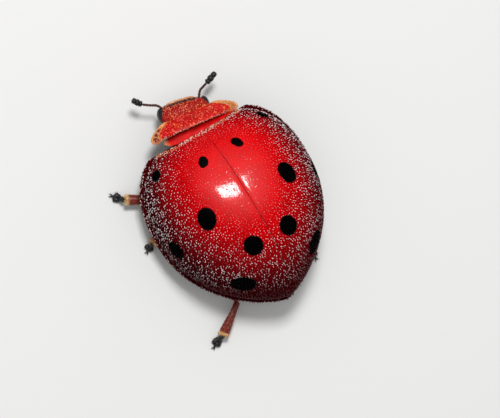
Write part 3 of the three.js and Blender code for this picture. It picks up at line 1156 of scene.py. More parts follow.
RIM_HAIR = ShortHair(name="rim_hair", pale="#ffe6e0", faint="#8a2a20")
SHIELD_HAIR = ShortHair(name="shield_hair", pale="#ffb49a", faint="#c01c14")
HEAD_HAIR = ShortHair(name="head_hair", pale="#ffc79e", faint="#d8603a")
LIMB_HAIR = ShortHair(name="limb_hair", pale="#e6b79a", faint="#a8604a")
FRINGE_HAIR = ShortHair(name="fringe_hair", pale="#ffe2ae", faint="#e8b26c")
FOOT_HAIR = ShortHair(name="foot_hair", pale="#2a201c", faint="#161011")


# ------------ hair

NEIGHBOURS = [(x, y, z) for x in (-1, 0, 1) for y in (-1, 0, 1) for z in (-1, 0, 1)]
ROOT_TRIES = 5  # places drawn for each hair's square, so that few squares stay bare
HAIR_RINGS = ((-0.06, 1.0), (0.5, 0.8))  # share of a hair's length and of its width at its two rings
HAIR_ARCH = 1.3  # how much more steeply a hair rises at first
HAIR_FACES = (
    (0, 1, 4), (0, 4, 3), (1, 2, 5), (1, 5, 4), (2, 0, 3), (2, 3, 5),  # from the lower ring to the upper
    (3, 4, 6), (4, 5, 6), (5, 3, 6), (0, 2, 1),  # the tip and the root
)
HAIR_PATCH = 0.003  # size of a hair's place on the unwrap
HAIR_UNWRAP = ((-1, -1), (0, -1), (1, -1), (-1, 0), (0, 0), (1, 0), (0, 1))  # corners in half a patch
LENGTHS = (0.7, 1.25)  # shortest and longest hair, as shares of the usual length
WIDTHS = (0.8, 1.2)  # thinnest and thickest hair, likewise
ISLAND_BEND = 66  # degrees between faces that part two islands of an unwrap


@dataclass(frozen=True)
class Coat:
    """Short hair rooted all over a piece, as one mesh of tapered hairs.

    Attributes:
        name: The coat's name.
        finish: Its hair.
        slot: A material slot's name; not used.
        spacing: Distance between roots.
        length: Length of a hair.
        width: Thickness of a hair at its root.
        lean: How steeply it stands, 0 flat and 1 upright.
        lie: The direction in which the hair lies, before it is laid on the skin.
        swirl: How much each hair strays from that direction.
        vigour: Share of its full length that hair reaches at a place, from the place and
            the skin's normal there; 0 leaves it bare.
        seed: Start of the random draws.
    """

    name: str
    finish: Finish
    slot: str
    spacing: float
    length: float
    width: float
    lean: float = 0.35
    lie: Triple = (0.0, 1.0, -0.2)
    swirl: float = 0.35
    vigour: Callable[[Vector, Vector], float] = field(default=lambda place, normal: 1.0)
    seed: int = 7

    def roots(self, skin: bpy.types.Mesh) -> tuple[np.ndarray, np.ndarray, np.ndarray, np.ndarray]:
        """Picks evenly spread roots on a skin.

        Args:
            skin: The skin's mesh, with its unwrap.

        Returns:
            Places in metres, normals, places on the unwrap, and each hair's share of full length.
        """
        skin.calc_loop_triangles()
        count = len(skin.loop_triangles)
        corners = np.empty(count * 3, np.int32)
        loops = np.empty(count * 3, np.int32)
        skin.loop_triangles.foreach_get("vertices", corners)
        skin.loop_triangles.foreach_get("loops", loops)
        places = np.empty(len(skin.vertices) * 3, np.float64)
        normals = np.empty(len(skin.vertices) * 3, np.float64)
        skin.vertices.foreach_get("co", places)
        skin.vertices.foreach_get("normal", normals)
        flat = np.empty(len(skin.loops) * 2, np.float64)
        skin.uv_layers.active.uv.foreach_get("vector", flat)
        triangles = places.reshape(-1, 3)[corners.reshape(-1, 3)]
        tilts = normals.reshape(-1, 3)[corners.reshape(-1, 3)]
        unwrap = flat.reshape(-1, 2)[loops.reshape(-1, 3)]
        sides = triangles[:, 1:] - triangles[:, :1]
        areas = np.linalg.norm(np.cross(sides[:, 0], sides[:, 1]), axis=1) / 2
        step = self.spacing * MM
        draws = np.random.default_rng(self.seed)
        tries = int(areas.sum() / step**2 * ROOT_TRIES)
        chosen = draws.choice(count, tries, p=areas / areas.sum())
        first, second = draws.random(tries), draws.random(tries)
        over = first + second > 1
        first[over], second[over] = 1 - first[over], 1 - second[over]
        weights = np.stack([1 - first - second, first, second], 1)[:, :, None]
        at = (triangles[chosen] * weights).sum(1)
        normal = (tilts[chosen] * weights).sum(1)
        normal /= np.linalg.norm(normal, axis=1, keepdims=True)
        patch = (unwrap[chosen] * weights).sum(1)
        taken: dict[tuple[int, int, int], list[int]] = {}
        kept, vigours = [], []
        for i, cell in enumerate(map(tuple, np.floor(at / step).astype(int))):
            around = ((cell[0] + x, cell[1] + y, cell[2] + z) for x, y, z in NEIGHBOURS)
            if any(((at[j] - at[i]) ** 2).sum() < step**2 for near in around for j in taken.get(near, ())):
                continue
            vigour = self.vigour((Vector(at[i]) - ANCHOR) / MM, Vector(normal[i]))
            if vigour > 0:
                taken.setdefault(cell, []).append(i)
                kept.append(i)
                vigours.append(vigour)
        return at[kept], normal[kept], patch[kept], np.array(vigours).reshape(-1, 1)

    def grow(self, skin: bpy.types.Object) -> bpy.types.Object:
        """Grows the coat on a piece.

        Args:
            skin: The piece it is rooted on.

        Returns:
            The coat's object.
        """
        unwrap(skin)
        at, normal, patch, vigour = self.roots(skin.data)
        draws = np.random.default_rng(self.seed + 1)
        count = len(at)
        lie = np.array(self.lie) + draws.normal(0, self.swirl, (count, 3))
        lie -= (lie * normal).sum(1, keepdims=True) * normal
        lie /= np.linalg.norm(lie, axis=1, keepdims=True)
        side = np.cross(normal, lie)
        length = self.length * MM * vigour * draws.uniform(*LENGTHS, (count, 1))
        width = self.width * MM * draws.uniform(*WIDTHS, (count, 1))
        corners = []
        for share, thick in HAIR_RINGS:
            middle = at + lie * length * max(share, 0.0) + normal * length * (share * self.lean * HAIR_ARCH)
            for corner in range(3):
                angle = math.tau * corner / 3 + math.pi / 2
                out = side * math.cos(angle) + normal * math.sin(angle)
                corners.append(middle + out * width * thick / 2)
        corners.append(at + lie * length + normal * length * self.lean)
        verts = np.stack(corners, 1)
        every = (np.array(HAIR_FACES)[None] + np.arange(count)[:, None, None] * verts.shape[1]).reshape(-1, 3)
        mesh = bpy.data.meshes.new(self.name)
        mesh.from_pydata(verts.reshape(-1, 3), [], every)
        spread = np.array(HAIR_UNWRAP) * HAIR_PATCH / 2
        flat = (patch[:, None] + spread[None]).reshape(-1, 2)
        layer = mesh.uv_layers.new(name="OFBake")
        layer.uv.foreach_set("vector", flat[every.reshape(-1)].reshape(-1))
        mesh.validate()
        mesh.shade_smooth()
        mesh.materials.append(self.finish.material())
        made = bpy.data.objects.new(self.name, mesh)
        bpy.context.scene.collection.objects.link(made)
        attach(made, ROOT)
        LOG.info("%s: %d hairs", self.name, count)
        return made


def unwrap(skin: bpy.types.Object) -> None:
    """Lays a piece's skin out flat, on its own shape.

    Args:
        skin: The piece.
    """
    if skin.data.uv_layers:
        return
    skin.data.uv_layers.new(name="unwrap")
    bpy.context.view_layer.objects.active = skin
    for other in bpy.context.selected_objects:
        other.select_set(False)
    skin.select_set(True)
    bpy.ops.object.mode_set(mode="EDIT")
    bpy.ops.mesh.select_all(action="SELECT")
    bpy.ops.uv.smart_project(angle_limit=math.radians(ISLAND_BEND), island_margin=0.01)
    bpy.ops.object.mode_set(mode="OBJECT")
    skin.select_set(False)


# ------------ wing cases


@dataclass
class WingCases:
    """The two domed wing cases with their gutter, beaded rim, seam groove and hair.

    The shell's section is given in shares of the way from the crown to the rim, and heights.

    Attributes:
        facets: Facets round the dome.
        rings: Rings of corners on the dome's outer face.
        wall: Thickness of the shell at the crown.
        gutter: Section between the dome's foot and the bead.
        bead: Section of the raised rim.
        fold: Section of the edge that is folded in under it.
        inner_foot: Where the inner face starts.
        inner_rings: Rings of corners on it.
        groove: The groove along the seam.
        scores: Lines of edges beside the seam, which the groove needs.
        shoulder: The swelling at each shoulder, across the body.
        shoulder_length: The same along it.
        relief_from: Height above which groove and shoulders are.
        lift: How much the rim rises toward the front.
        lift_stretch: Distances ahead between which it does.
        lift_fade: Depth of the fold, and the height over which the lift ends.
        heart: Station and depth of a point that the outer face turns away from.
    """

    facets: int = 168
    rings: int = 34
    wall: float = 0.5
    gutter: Points = ((0.962, 0.13), (0.968, 0.095), (0.975, 0.09))
    bead: Points = ((0.983, 0.11), (0.99, 0.12), (0.997, 0.1), (1.0, 0.06), (1.0, 0.01))
    fold: Points = ((0.996, -0.08), (0.99, -0.13), (0.97, -0.135), (0.93, -0.12), (0.88, -0.02))
    inner_foot: Pair = (0.82, 0.08)
    inner_rings: int = 12
    groove: Swell = Swell(0.02, SUTURE_HALF, 0.055)
    scores: tuple[float, ...] = (0.05, 0.085, 0.13, 0.19)
    shoulder: Swell = Swell(0.05, 1.95, 0.55)
    shoulder_length: Swell = Swell(1.0, -2.15, 0.5)
    relief_from: float = 0.15
    lift: float = 0.25
    lift_stretch: Pair = (1.6, 3.0)
    lift_fade: Pair = (0.14, 0.9)
    heart: Pair = (0.5, 0.6)

    def profile(self) -> list[Pair]:
        """Section of the shell from the crown, over the rim and back up inside.

        Returns:
            Its points.
        """
        foot = OUTLINE.dome_foot - 0.006  # so that the gutter starts with a crease
        outer = []
        for i in range(self.rings + 1):
            share = math.sin(i / self.rings * math.pi / 2) * foot
            above = OUTLINE.height(share / OUTLINE.dome_foot, DOME_HEIGHT - OUTLINE.rim_rise)
            outer.append((share, OUTLINE.rim_rise + above))
        start, low = self.inner_foot
        inner = []
        for i in range(self.inner_rings):
            share = math.cos(i / (self.inner_rings - 1) * math.pi / 2) * start
            inner.append((share, low + OUTLINE.height(share / start, DOME_HEIGHT - self.wall - low)))
        return [*outer, *self.gutter, *self.bead, *self.fold, *inner]

    def relief(self, place: Vector) -> Vector:
        """Presses the seam groove in, raises the shoulders, and lifts the rim toward them.

        Args:
            place: A corner of the shell.

        Returns:
            Its new place.
        """
        under, fade = self.lift_fade
        place.z += self.lift * rise(-place.y, *self.lift_stretch) * max(0.0, 1 - (place.z + under) / fade)
        if place.z > self.relief_from:
            bulge = self.shoulder.at(abs(place.x)) * self.shoulder_length.at(place.y)
            place.z += bulge - self.groove.at(abs(place.x))
        return place

    def shell(self, side: Side) -> Mesh:
        """Shapes one wing case.

        Args:
            side: The side it covers.

        Returns:
            A closed mesh.
        """
        sign = side.value
        bm = shift(spun(self.profile(), self.facets), OUTLINE.laid)
        bmesh.ops.recalc_face_normals(bm, faces=bm.faces)
        cut(bm, (sign * SUTURE_HALF, 0, 0), (-sign, 0, 0))
        cut(bm, (0, CASE_FRONT, 0), (0, -1, 0))
        for x in self.scores:
            score(bm, (sign * x, 0, 0), (1, 0, 0))
        return shift(bm, self.relief)

    def build(self) -> None:
        """Makes both wing cases and their hair."""
        for side in Side:
            sign, word = side.value, side.word
            bm = self.shell(side)
            case = piece(f"wing_case_skin_{word}", bm, CASE_SKIN, [f"wing_case_{word}"], 40.0)
            Coat(
                name=f"wing_case_hair_{word}", finish=CASE_HAIR, slot="red_shell",
                spacing=0.075, length=0.08, width=0.034, lean=0.3, lie=(0.25 * sign, 1.0, -0.25), swirl=0.6,
                vigour=self.hair_vigour, seed=11 + sign,
            ).grow(case)
            Coat(
                name=f"wing_case_fringe_{word}", finish=MARGIN_HAIR, slot="red_shell",
                spacing=0.055, length=0.07, width=0.038, lean=0.4, lie=(0.0, -1.0, 0.2), swirl=0.3,
                vigour=self.fringe_vigour, seed=15 + sign,
            ).grow(case)
            Coat(
                name=f"wing_case_rim_hair_{word}", finish=RIM_HAIR, slot="red_shell",
                spacing=0.11, length=0.07, width=0.045, lean=0.3, lie=(0.0, 1.0, 0.0), swirl=0.1,
                vigour=self.rim_vigour, seed=19 + sign,
            ).grow(case)

    @staticmethod
    def rim_vigour(place: Vector, normal: Vector) -> float:
        """A row of short hair follows the upper side of the rim's bead."""
        return float(normal.z > 0.4 and OUTLINE.share_at(place.x, place.y) > 0.984)

    @staticmethod
    def fringe_vigour(place: Vector, normal: Vector) -> float:
        """A close row of hair stands within 0.07 mm of the front edge of the back."""
        return float(normal.z > 0.1 and place.z > 0.3 and place.y < CASE_FRONT + 0.07)

    def hair_vigour(self, place: Vector, normal: Vector) -> float:
        """Hair grows on the outer face, up to the rim's bead, and is shortest on the front of the back.

        Args:
            place: The root, in the stations.
            normal: The skin's normal there.

        Returns:
            Share of full length, 0 where the skin is bare.
        """
        station, depth = self.heart
        outward = Vector((place.x, place.y - station, place.z + depth)).normalized()
        if normal.dot(outward) < 0.25 or place.z < 0.03 or place.y < CASE_FRONT + 0.04:
            return 0.0
        return blend(0.4, 1.0, flank_share(place))


@dataclass
class SmallPlate:
    """The small triangular plate where the wing cases' seam meets their front edge.

    Attributes:
        half: Half of its width at the front.
        length: Its length.
        thick: Its thickness.
        proud: How much its middle swells.
        sunk: How deep its edges lie in the back.
        back: How far it stands behind the front edge.
        cuts: Cuts of each side, for a smooth swell.
    """

    half: float = 0.22
    length: float = 0.36
    thick: float = 0.12
    proud: float = 0.02
    sunk: float = 0.012
    back: float = 0.005
    cuts: int = 7

    def build(self) -> None:
        """Makes the plate."""
        bm = bmesh.new()
        corners = ((-self.half, 0, 0), (self.half, 0, 0), (0, self.length, 0))
        bm.faces.new([bm.verts.new(corner) for corner in corners])
        bmesh.ops.subdivide_edges(bm, edges=bm.edges[:], cuts=self.cuts, use_grid_fill=True)
        lower = bmesh.ops.extrude_face_region(bm, geom=bm.faces[:])["geom"]
        under = {item for item in lower if isinstance(item, bmesh.types.BMVert)}
        for vert in bm.verts:
            x, y = vert.co.x, vert.co.y + CASE_FRONT + self.back
            swell = self.proud * (1 - (abs(x) / self.half) ** 2)
            top = OUTLINE.dome_z(x, y) + swell - self.sunk
            vert.co = Vector((x, y, top - self.thick if vert in under else top))
        bmesh.ops.recalc_face_normals(bm, faces=bm.faces)
        piece("small_plate_skin", bm, CASE_SKIN, ["small_plate"], 60.0)


# ------------ neck shield

NECK_TURN = -6.2  # degrees by which shield, waist ring and fore chest turn to the animal's right
NECK_PIVOT = -3.0  # station of the upright line that they turn about


@dataclass
class NeckShield:
    """The shield over the neck: a crowned disc with thin flared corners.

    A place on it is given across, from -1 to 1, and along, from 0 at the front margin to 1 at
    the hind one. Two values are those at the front and the hind margin, and a stretch is the two
    places between which something starts or ends.

    Attributes:
        side: Control points of the curve along its left side.
        front_middle: Station of the front margin on the midline.
        hind_middle: Station of the hind margin there.
        bow: Powers that bend the margins.
        ridge: Heights on the midline.
        drop: How far the sides fall.
        drop_power: How late they fall.
        gutter: The groove inside the side margin, across.
        gutter_start: Its stretch along.
        bead: The raised side margin, across.
        hollow: The hollow behind the front margin, along.
        hollow_end: Its stretch across.
        thick: Thickness in the middle.
        thin: Thickness at the margins.
        body: Stretch across in which it thins.
        front_edge: Stretch along in which it thickens.
        hind_edge: Stretch along in which it thins to half.
        side_rim: Stretch across of the pale side rim.
        front_rim: Stretches across and along of the pale front rim, and how pale it is.
        hind_rim: Stretches across and along of the pale hind corners.
        lobe: Stretch across of the thin lobe.
        patch: Stretches across and along of its dark patch.
        right_patch: How dark the right patch is beside the left one.
        facets: Facets across and along.
    """

    side: Points = ((1.0, -3.8), (1.35, -3.72), (1.98, -3.38), (1.5, -3.2))
    front_middle: float = -3.78
    hind_middle: float = -3.33
    bow: Pair = (2.0, 3.6)
    ridge: Pair = (0.4, 0.86)
    drop: Pair = (0.14, 0.5)
    drop_power: float = 2.2
    gutter: Swell = Swell(0.035, 0.84, 0.07)
    gutter_start: Pair = (0.05, 0.3)
    bead: Swell = Swell(0.03, 0.985, 0.03)
    hollow: Swell = Swell(0.03, 0.12, 0.08)
    hollow_end: Pair = (0.3, 0.8)
    thick: float = 0.32
    thin: float = 0.055
    body: Pair = (0.55, 0.85)
    front_edge: Pair = (0.0, 0.2)
    hind_edge: Pair = (0.85, 1.0)
    side_rim: Pair = (0.95, 0.97)
    front_rim: tuple[Pair, Pair, float] = ((0.7, 0.85), (0.02, 0.07), 0.7)
    hind_rim: Points = ((0.74, 0.82), (0.88, 0.95))
    lobe: Pair = (0.8, 0.84)
    patch: Points = ((0.835, 0.86), (0.2, 0.36))
    right_patch: float = 0.5
    facets: tuple[int, int] = (112, 36)

    def plan(self, across: float, along: float) -> Pair:
        """Plan position of a place on the shield.

        Args:
            across: -1 to 1 from side to side.
            along: 0 at the front margin and 1 at the hind margin.

        Returns:
            Its x and y, before the shield is turned.
        """
        t, s = along, 1 - along
        weights = (s**3, 3 * s * s * t, 3 * s * t * t, t**3)
        side_x = sum(w * p[0] for w, p in zip(weights, self.side))
        side_y = sum(w * p[1] for w, p in zip(weights, self.side))
        middle = blend(self.front_middle, self.hind_middle, along)
        return side_x * across, blend(middle, side_y, abs(across) ** blend(*self.bow, along))

    def top(self, across: float, along: float) -> float:
        """Height of the shield's upper face.

        Args:
            across: -1 to 1 from side to side.
            along: 0 at the front margin and 1 at the hind margin.

        Returns:
            The height.
        """
        ridge = blend(*self.ridge, math.sin(along * math.pi / 2))
        far = abs(across)
        drop = blend(*self.drop, along) * far**self.drop_power
        gutter = self.gutter.at(far) * rise(along, *self.gutter_start)
        hollow = self.hollow.at(along) * (1 - rise(far, *self.hollow_end))
        return ridge - drop - gutter + self.bead.at(far) - hollow

    def thickness(self, across: float, along: float) -> float:
        """How thick the shield is: full in the middle and thin toward every margin.

        Args:
            across: -1 to 1 from side to side.
            along: 0 at the front margin and 1 at the hind margin.

        Returns:
            The thickness.
        """
        body = 1 - rise(abs(across), *self.body)
        ends = rise(along, *self.front_edge) * (1 - 0.5 * rise(along, *self.hind_edge))
        return blend(self.thin, self.thick, body * ends)

    def marks(self, across: float, along: float) -> Pair:
        """How the shield is marked.

        Args:
            across: -1 to 1 from side to side.
            along: 0 at the front margin and 1 at the hind margin.

        Returns:
            How much of the place is pale lobe, and how much of that is dark patch.
        """
        far = abs(across)
        front_across, front_along, front_pale = self.front_rim
        front = front_pale * rise(far, *front_across) * (1 - rise(along, *front_along))
        margin = max(rise(far, *self.side_rim), front)
        hind = rise(far, *self.hind_rim[0]) * rise(along, *self.hind_rim[1])
        corner = rise(far, *self.lobe)
        patch = corner * (1 - margin) * (1 - hind) * rise(far, *self.patch[0]) * rise(along, *self.patch[1])
        return min(1.0, max(margin, corner, hind)), patch * (1.0 if across > 0 else self.right_patch)

    def build(self) -> None:
        """Makes the shield and its hair."""
        bm = bmesh.new()
        bmesh.ops.create_grid(bm, x_segments=self.facets[0], y_segments=self.facets[1], size=1.0)
        lower = bmesh.ops.extrude_face_region(bm, geom=bm.faces[:])["geom"]
        under = [item for item in lower if isinstance(item, bmesh.types.BMVert)]
        bmesh.ops.translate(bm, vec=(0, 0, -1), verts=under)
        lobe = bm.verts.layers.float.new("lobe")
        patch = bm.verts.layers.float.new("patch")
        for vert in bm.verts:
            across, along, depth = vert.co.x, (vert.co.y + 1) / 2, -vert.co.z
            vert[lobe], vert[patch] = self.marks(across, along)
            height = self.top(across, along) - depth * self.thickness(across, along)
            vert.co = Vector((*self.plan(across, along), height))
        bmesh.ops.recalc_face_normals(bm, faces=bm.faces)
        bmesh.ops.transform(bm, matrix=turn_about(NECK_TURN, NECK_PIVOT), verts=bm.verts)
        shield = piece("neck_shield_skin", bm, SHIELD_SKIN, ["neck_shield"], 60.0)
        Coat(
            name="neck_shield_hair", finish=SHIELD_HAIR, slot="red_shell",
            spacing=0.08, length=0.055, width=0.022, lean=0.25, lie=(0.0, -0.4, -0.3), swirl=0.5,
            vigour=self.hair_vigour, seed=21,
        ).grow(shield)
        Coat(
            name="neck_shield_fringe", finish=MARGIN_HAIR, slot="red_shell",
            spacing=0.05, length=0.05, width=0.03, lean=0.4, lie=(0.0, 1.0, -0.5), swirl=0.3,
            vigour=self.fringe_vigour, seed=23,
        ).grow(shield)

    @staticmethod
    def hair_vigour(place: Vector, normal: Vector) -> float:
        """Hair grows on the upper face only."""
        return float(normal.z > 0.2)

    def fringe_vigour(self, place: Vector, normal: Vector) -> float:
        """A close row of hair stands within 0.05 mm of the hind margin."""
        straight = turn_about(-NECK_TURN, NECK_PIVOT) @ place
        return float(normal.z > 0.1 and straight.y > self.hind_middle - 0.05)


@dataclass
class WaistRing:
    """The smooth ring between the shield and the wing cases, with a pale left end and painted shade along its
    front, under the shield's edge.

    Attributes:
        reach: Its right and its left end.
        front: Station of its front margin on the midline, slanted as the shield is.
        hind: Station of its hind margin.
        least: Least distance between the two.
        end_power: How late they run together in a rounded end.
        crest: Height on the midline at the front and the hind margin.
        arch: How far it falls toward its ends.
        tuck: How far the very ends are tucked in.
        thick: Thickness on the midline and at the ends.
        pale: Stretch across in which the left end turns pale.
        painted_shade: Stretch along, from -0.5 to 0.5, in which the painted shade at the front ends.
        cuts: Cuts of each side of the block that it starts from.
    """

    reach: Pair = (-1.5, 1.25)
    front: float = -3.3
    hind: float = CASE_FRONT - 0.015
    least: float = 0.03
    end_power: int = 5
    crest: Pair = (0.68, 0.9)
    arch: float = 0.34
    tuck: float = 0.06
    thick: Pair = (0.4, 0.05)
    pale: Pair = (1.08, 1.24)
    painted_shade: Pair = (-0.4, 0.25)
    cuts: int = 31

    def build(self) -> None:
        """Makes the ring."""
        bm = bmesh.new()
        bmesh.ops.create_cube(bm, size=1.0)
        bmesh.ops.subdivide_edges(bm, edges=bm.edges[:], cuts=self.cuts, use_grid_fill=True)
        pale = bm.verts.layers.float.new("pale")
        painted_shade = bm.verts.layers.float.new("painted_shade")
        slope = math.tan(math.radians(NECK_TURN))
        for vert in bm.verts:
            x = blend(*self.reach, vert.co.x + 0.5)
            share = x / self.reach[x > 0]
            front = min(self.front + slope * x, self.hind - self.least)
            round_end = math.sqrt(max(0.02, 1 - abs(share) ** self.end_power))
            y = (front + self.hind) / 2 + (self.hind - front) * vert.co.y * round_end
            crest = blend(*self.crest, vert.co.y + 0.5) - self.arch * share**2 - self.tuck * abs(share) ** 7
            vert[pale] = rise(x, *self.pale)
            # Painted shade along the front, under the shield's edge.
            vert[painted_shade] = 1 - rise(vert.co.y, *self.painted_shade)
            vert.co = Vector((x, y, crest - blend(*self.thick, share**2) * (0.5 - vert.co.z)))
        every_way = {"use_axis_x": True, "use_axis_y": True, "use_axis_z": True}
        bmesh.ops.smooth_vert(bm, verts=bm.verts[:], factor=0.5, **every_way)
        bmesh.ops.recalc_face_normals(bm, faces=bm.faces)
        piece("waist_ring_skin", bm, RING_SKIN, ["waist_ring"], 70.0)


# ------------ trunk


@dataclass
class Trunk:
    """The underside: the fore chest with its front hips, the chest, and the ringed belly.

    Attributes:
        share: How far out it reaches on the way from the crown to the rim.
        base: Height of its widest part.
        under: Height of the belly's middle.
        waist: Station where chest and belly meet.
        room: Height of the space under the wing cases' crown.
        facets: Facets round it.
        back_rings: Rings of corners over the back.
        belly_rings: Rings of corners under the belly.
        joints: Stations of the lines between the belly's joints.
        joint_bow: How much further back a line lies at the flank.
        joint_line: Depth of a line, and half of its width.
        keel: The groove along the middle of the chest.
        keel_end: Stations between which it ends.
    """

    share: float = 0.8
    base: float = -0.08
    under: float = -0.44
    waist: float = -0.05
    room: float = 0.7
    facets: int = 144
    back_rings: int = 10
    belly_rings: int = 24
    joints: tuple[float, ...] = (0.55, 1.1, 1.6, 2.05, 2.45)
    joint_bow: float = 0.1
    joint_line: Pair = (0.03, 0.035)
    keel: Swell = Swell(0.03, 0.0, 0.05)
    keel_end: Pair = (-0.4, -0.1)

    def profile(self) -> list[Pair]:
        """Section of the trunk from the back, round the flank to the middle of the belly.

        Returns:
            Its points, as shares of the way to the rim and heights.
        """
        back = []
        for i in range(self.back_rings + 1):
            out = math.sin(i / self.back_rings * math.pi / 2)
            back.append((out * self.share, self.base + OUTLINE.height(out, DOME_HEIGHT - self.room)))
        belly = []
        for i in range(1, self.belly_rings + 1):
            out = math.cos(i / self.belly_rings * math.pi / 2)
            belly.append((out * self.share, blend(self.under, self.base, 1 - math.sqrt(1 - out**2))))
        return [*back, *belly]

    def relief(self, place: Vector) -> Vector:
        """Presses in the lines between the belly's joints and the groove along the chest.

        Args:
            place: A corner of the trunk.

        Returns:
            Its new place.
        """
        if place.z < self.base - 0.02:
            deep, half = self.joint_line
            for joint in self.joints:
                place.z += deep * hump(place.y, joint + self.joint_bow * (place.x / 2.4) ** 2, half)
            place.z += self.keel.at(place.x) * (1 - rise(place.y, *self.keel_end))
        return place

    def build(self) -> None:
        """Makes the trunk's pieces."""
        for name, ahead in (("chest", True), ("belly", False)):
            bm = shift(spun(self.profile(), self.facets), OUTLINE.laid)
            cut(bm, (0, self.waist, 0), (0, 1 if ahead else -1, 0))
            parts = [shift(bm, self.relief)]
            if ahead:
                parts.append(egg((40, 20), (0.0, -2.1, -0.33), (1.2, 0.95, 0.12)))  # breast
                parts.append(egg((48, 20), (0.0, -2.55, -0.23), (1.4, 0.6, 0.23)))  # collar
            bm = joined(parts)
            bmesh.ops.recalc_face_normals(bm, faces=bm.faces)
            piece(f"{name}_skin", bm, BELLY_SKIN, [name])
        fore = egg((40, 24), (0.0, -3.36, -0.12), (1.12, 0.5, 0.46), 2.4)
        bmesh.ops.transform(fore, matrix=turn_about(NECK_TURN, NECK_PIVOT), verts=fore.verts)
        skin = piece("fore_chest_skin", fore, BELLY_SKIN, ["fore_chest"])
        Coat(
            name="fore_chest_hair", finish=LIMB_HAIR, slot="dark_skin",
            spacing=0.09, length=0.07, width=0.016, lie=(0.0, -0.3, -1.0), swirl=0.3,
            vigour=lambda place, normal: float(place.z < 0.2), seed=27,
        ).grow(skin)


# ------------ head


@dataclass
class Head:
    """The head with its eyes, lip and mouth feelers, turned to the animal's right.

    Attributes:
        turn: Degrees by which it turns.
        pivot: Station that it turns about.
        half: Half of its width.
        back: Station of its back.
        front: Station of its front.
        top: Height of its top.
        under: Height of its underside.
        bow: How far the brow hangs down.
        square: How broad it stays to its corners; 2 would give an ellipsoid.
        band_front: Distances ahead between which the dark line of painted shade starts.
        band_side: Distances across between which it pales to half.
        band_under: Distances down between which it ends.
        eye: Half sizes of an eye.
        eye_at: Middle of the left eye.
        palp: Path of the left mouth feeler.
    """

    turn: float = -12.9
    pivot: float = -3.8
    half: float = 0.9
    back: float = -3.5
    front: float = -4.28
    top: float = 0.36
    under: float = -0.42
    bow: float = 0.14
    square: float = 2.9
    band_front: Pair = (4.15, 4.2)
    band_side: Pair = (0.5, 0.8)
    band_under: Pair = (-0.03, 0.08)
    eye: Triple = (0.15, 0.28, 0.25)
    eye_at: Triple = (0.81, -3.93, -0.07)
    palp: Route = ((0.34, -3.95, -0.44), (0.52, -4.08, -0.5), (0.6, -4.22, -0.46))

    def skull(self, point: Vector) -> Vector:
        """Lays a unit sphere's point on the head capsule.

        Args:
            point: The point.

        Returns:
            Its place.
        """
        middle_y, middle_z = (self.back + self.front) / 2, (self.top + self.under) / 2
        reach_y, reach_z = (self.back - self.front) / 2, (self.top - self.under) / 2
        point = squared(self.square)(point)
        fore = rise(-point.y, 0, 1)
        x = point.x * (self.half * blend(1, 0.94, fore))
        return Vector((x, middle_y + point.y * reach_y, middle_z + point.z * reach_z - self.bow * fore))

    def build(self) -> None:
        """Makes the head's pieces."""
        turned = turn_about(self.turn, self.pivot)
        bm = shift(ball(64, 40), self.skull)
        # Painted shade in the groove before the lip, fading at the sides and below.
        groove_shade = bm.verts.layers.float.new("groove_shade")
        for vert in bm.verts:
            edge = rise(-vert.co.y, *self.band_front) * (1 - 0.5 * rise(abs(vert.co.x), *self.band_side))
            vert[groove_shade] = edge * (1 - 0.85 * rise(-vert.co.z, *self.band_under))
        bmesh.ops.transform(bm, matrix=turned, verts=bm.verts)
        skull = piece("head_skin", bm, HEAD_SKIN, ["head"])
        Coat(
            name="head_hair", finish=HEAD_HAIR, slot="red_skin",
            spacing=0.07, length=0.05, width=0.022, lean=0.3, lie=(0.0, -0.6, -0.3), swirl=0.5,
            vigour=lambda place, normal: float(place.y < -3.7), seed=31,
        ).grow(skull)
        for side in Side:
            x, y, z = self.eye_at
            bm = egg((36, 24), (side.value * x, y, z), self.eye)
            bmesh.ops.transform(bm, matrix=turned, verts=bm.verts)
            piece(f"eye_lens_{side.word}", bm, EYE_SKIN, [f"eye_{side.word}"])
        self.mouth(turned)

    def mouth(self, turned: Matrix) -> None:
        """Makes the lip, jaws and mouth feelers as one piece, with painted shade low down and toward the
        back, under the head.

        Args:
            turned: The head's turn.
        """
        lip = shift(ball(48, 24), squared(3.2))
        for vert in lip.verts:
            x, y, z = vert.co
            vert.co = Vector((x * blend(0.5, 0.58, z), -4.2 + y * 0.1 - 0.06 * z, -0.27 + z * 0.16))
        parts = [lip, egg((30, 16), (0.0, -4.0, -0.42), (0.3, 0.22, 0.2))]
        for side in Side:
            path = [(side.value * x, y, z) for x, y, z in self.palp]
            parts.append(limb(path, self.palp_girth, 16, 14))
        bm = joined(parts)
        # Painted shade: darker low down and toward the back, under the head.
        painted_shade = bm.verts.layers.float.new("painted_shade")
        for vert in bm.verts:
            vert[painted_shade] = max(rise(-vert.co.z, 0.36, 0.46), 0.8 * rise(vert.co.y, -4.25, -4.1))
        bmesh.ops.transform(bm, matrix=turned, verts=bm.verts)
        piece("mouth_skin", bm, LIP_SKIN, ["mouth"])

    @staticmethod
    def palp_girth(share: float) -> Pair:
        """Girth of a mouth feeler, which widens toward its blunt end."""
        return 0.08 * blunt(share, 4) * blend(0.7, 1.6, rise(share, 0.5, 0.85)), 0.06 * blunt(share, 4)


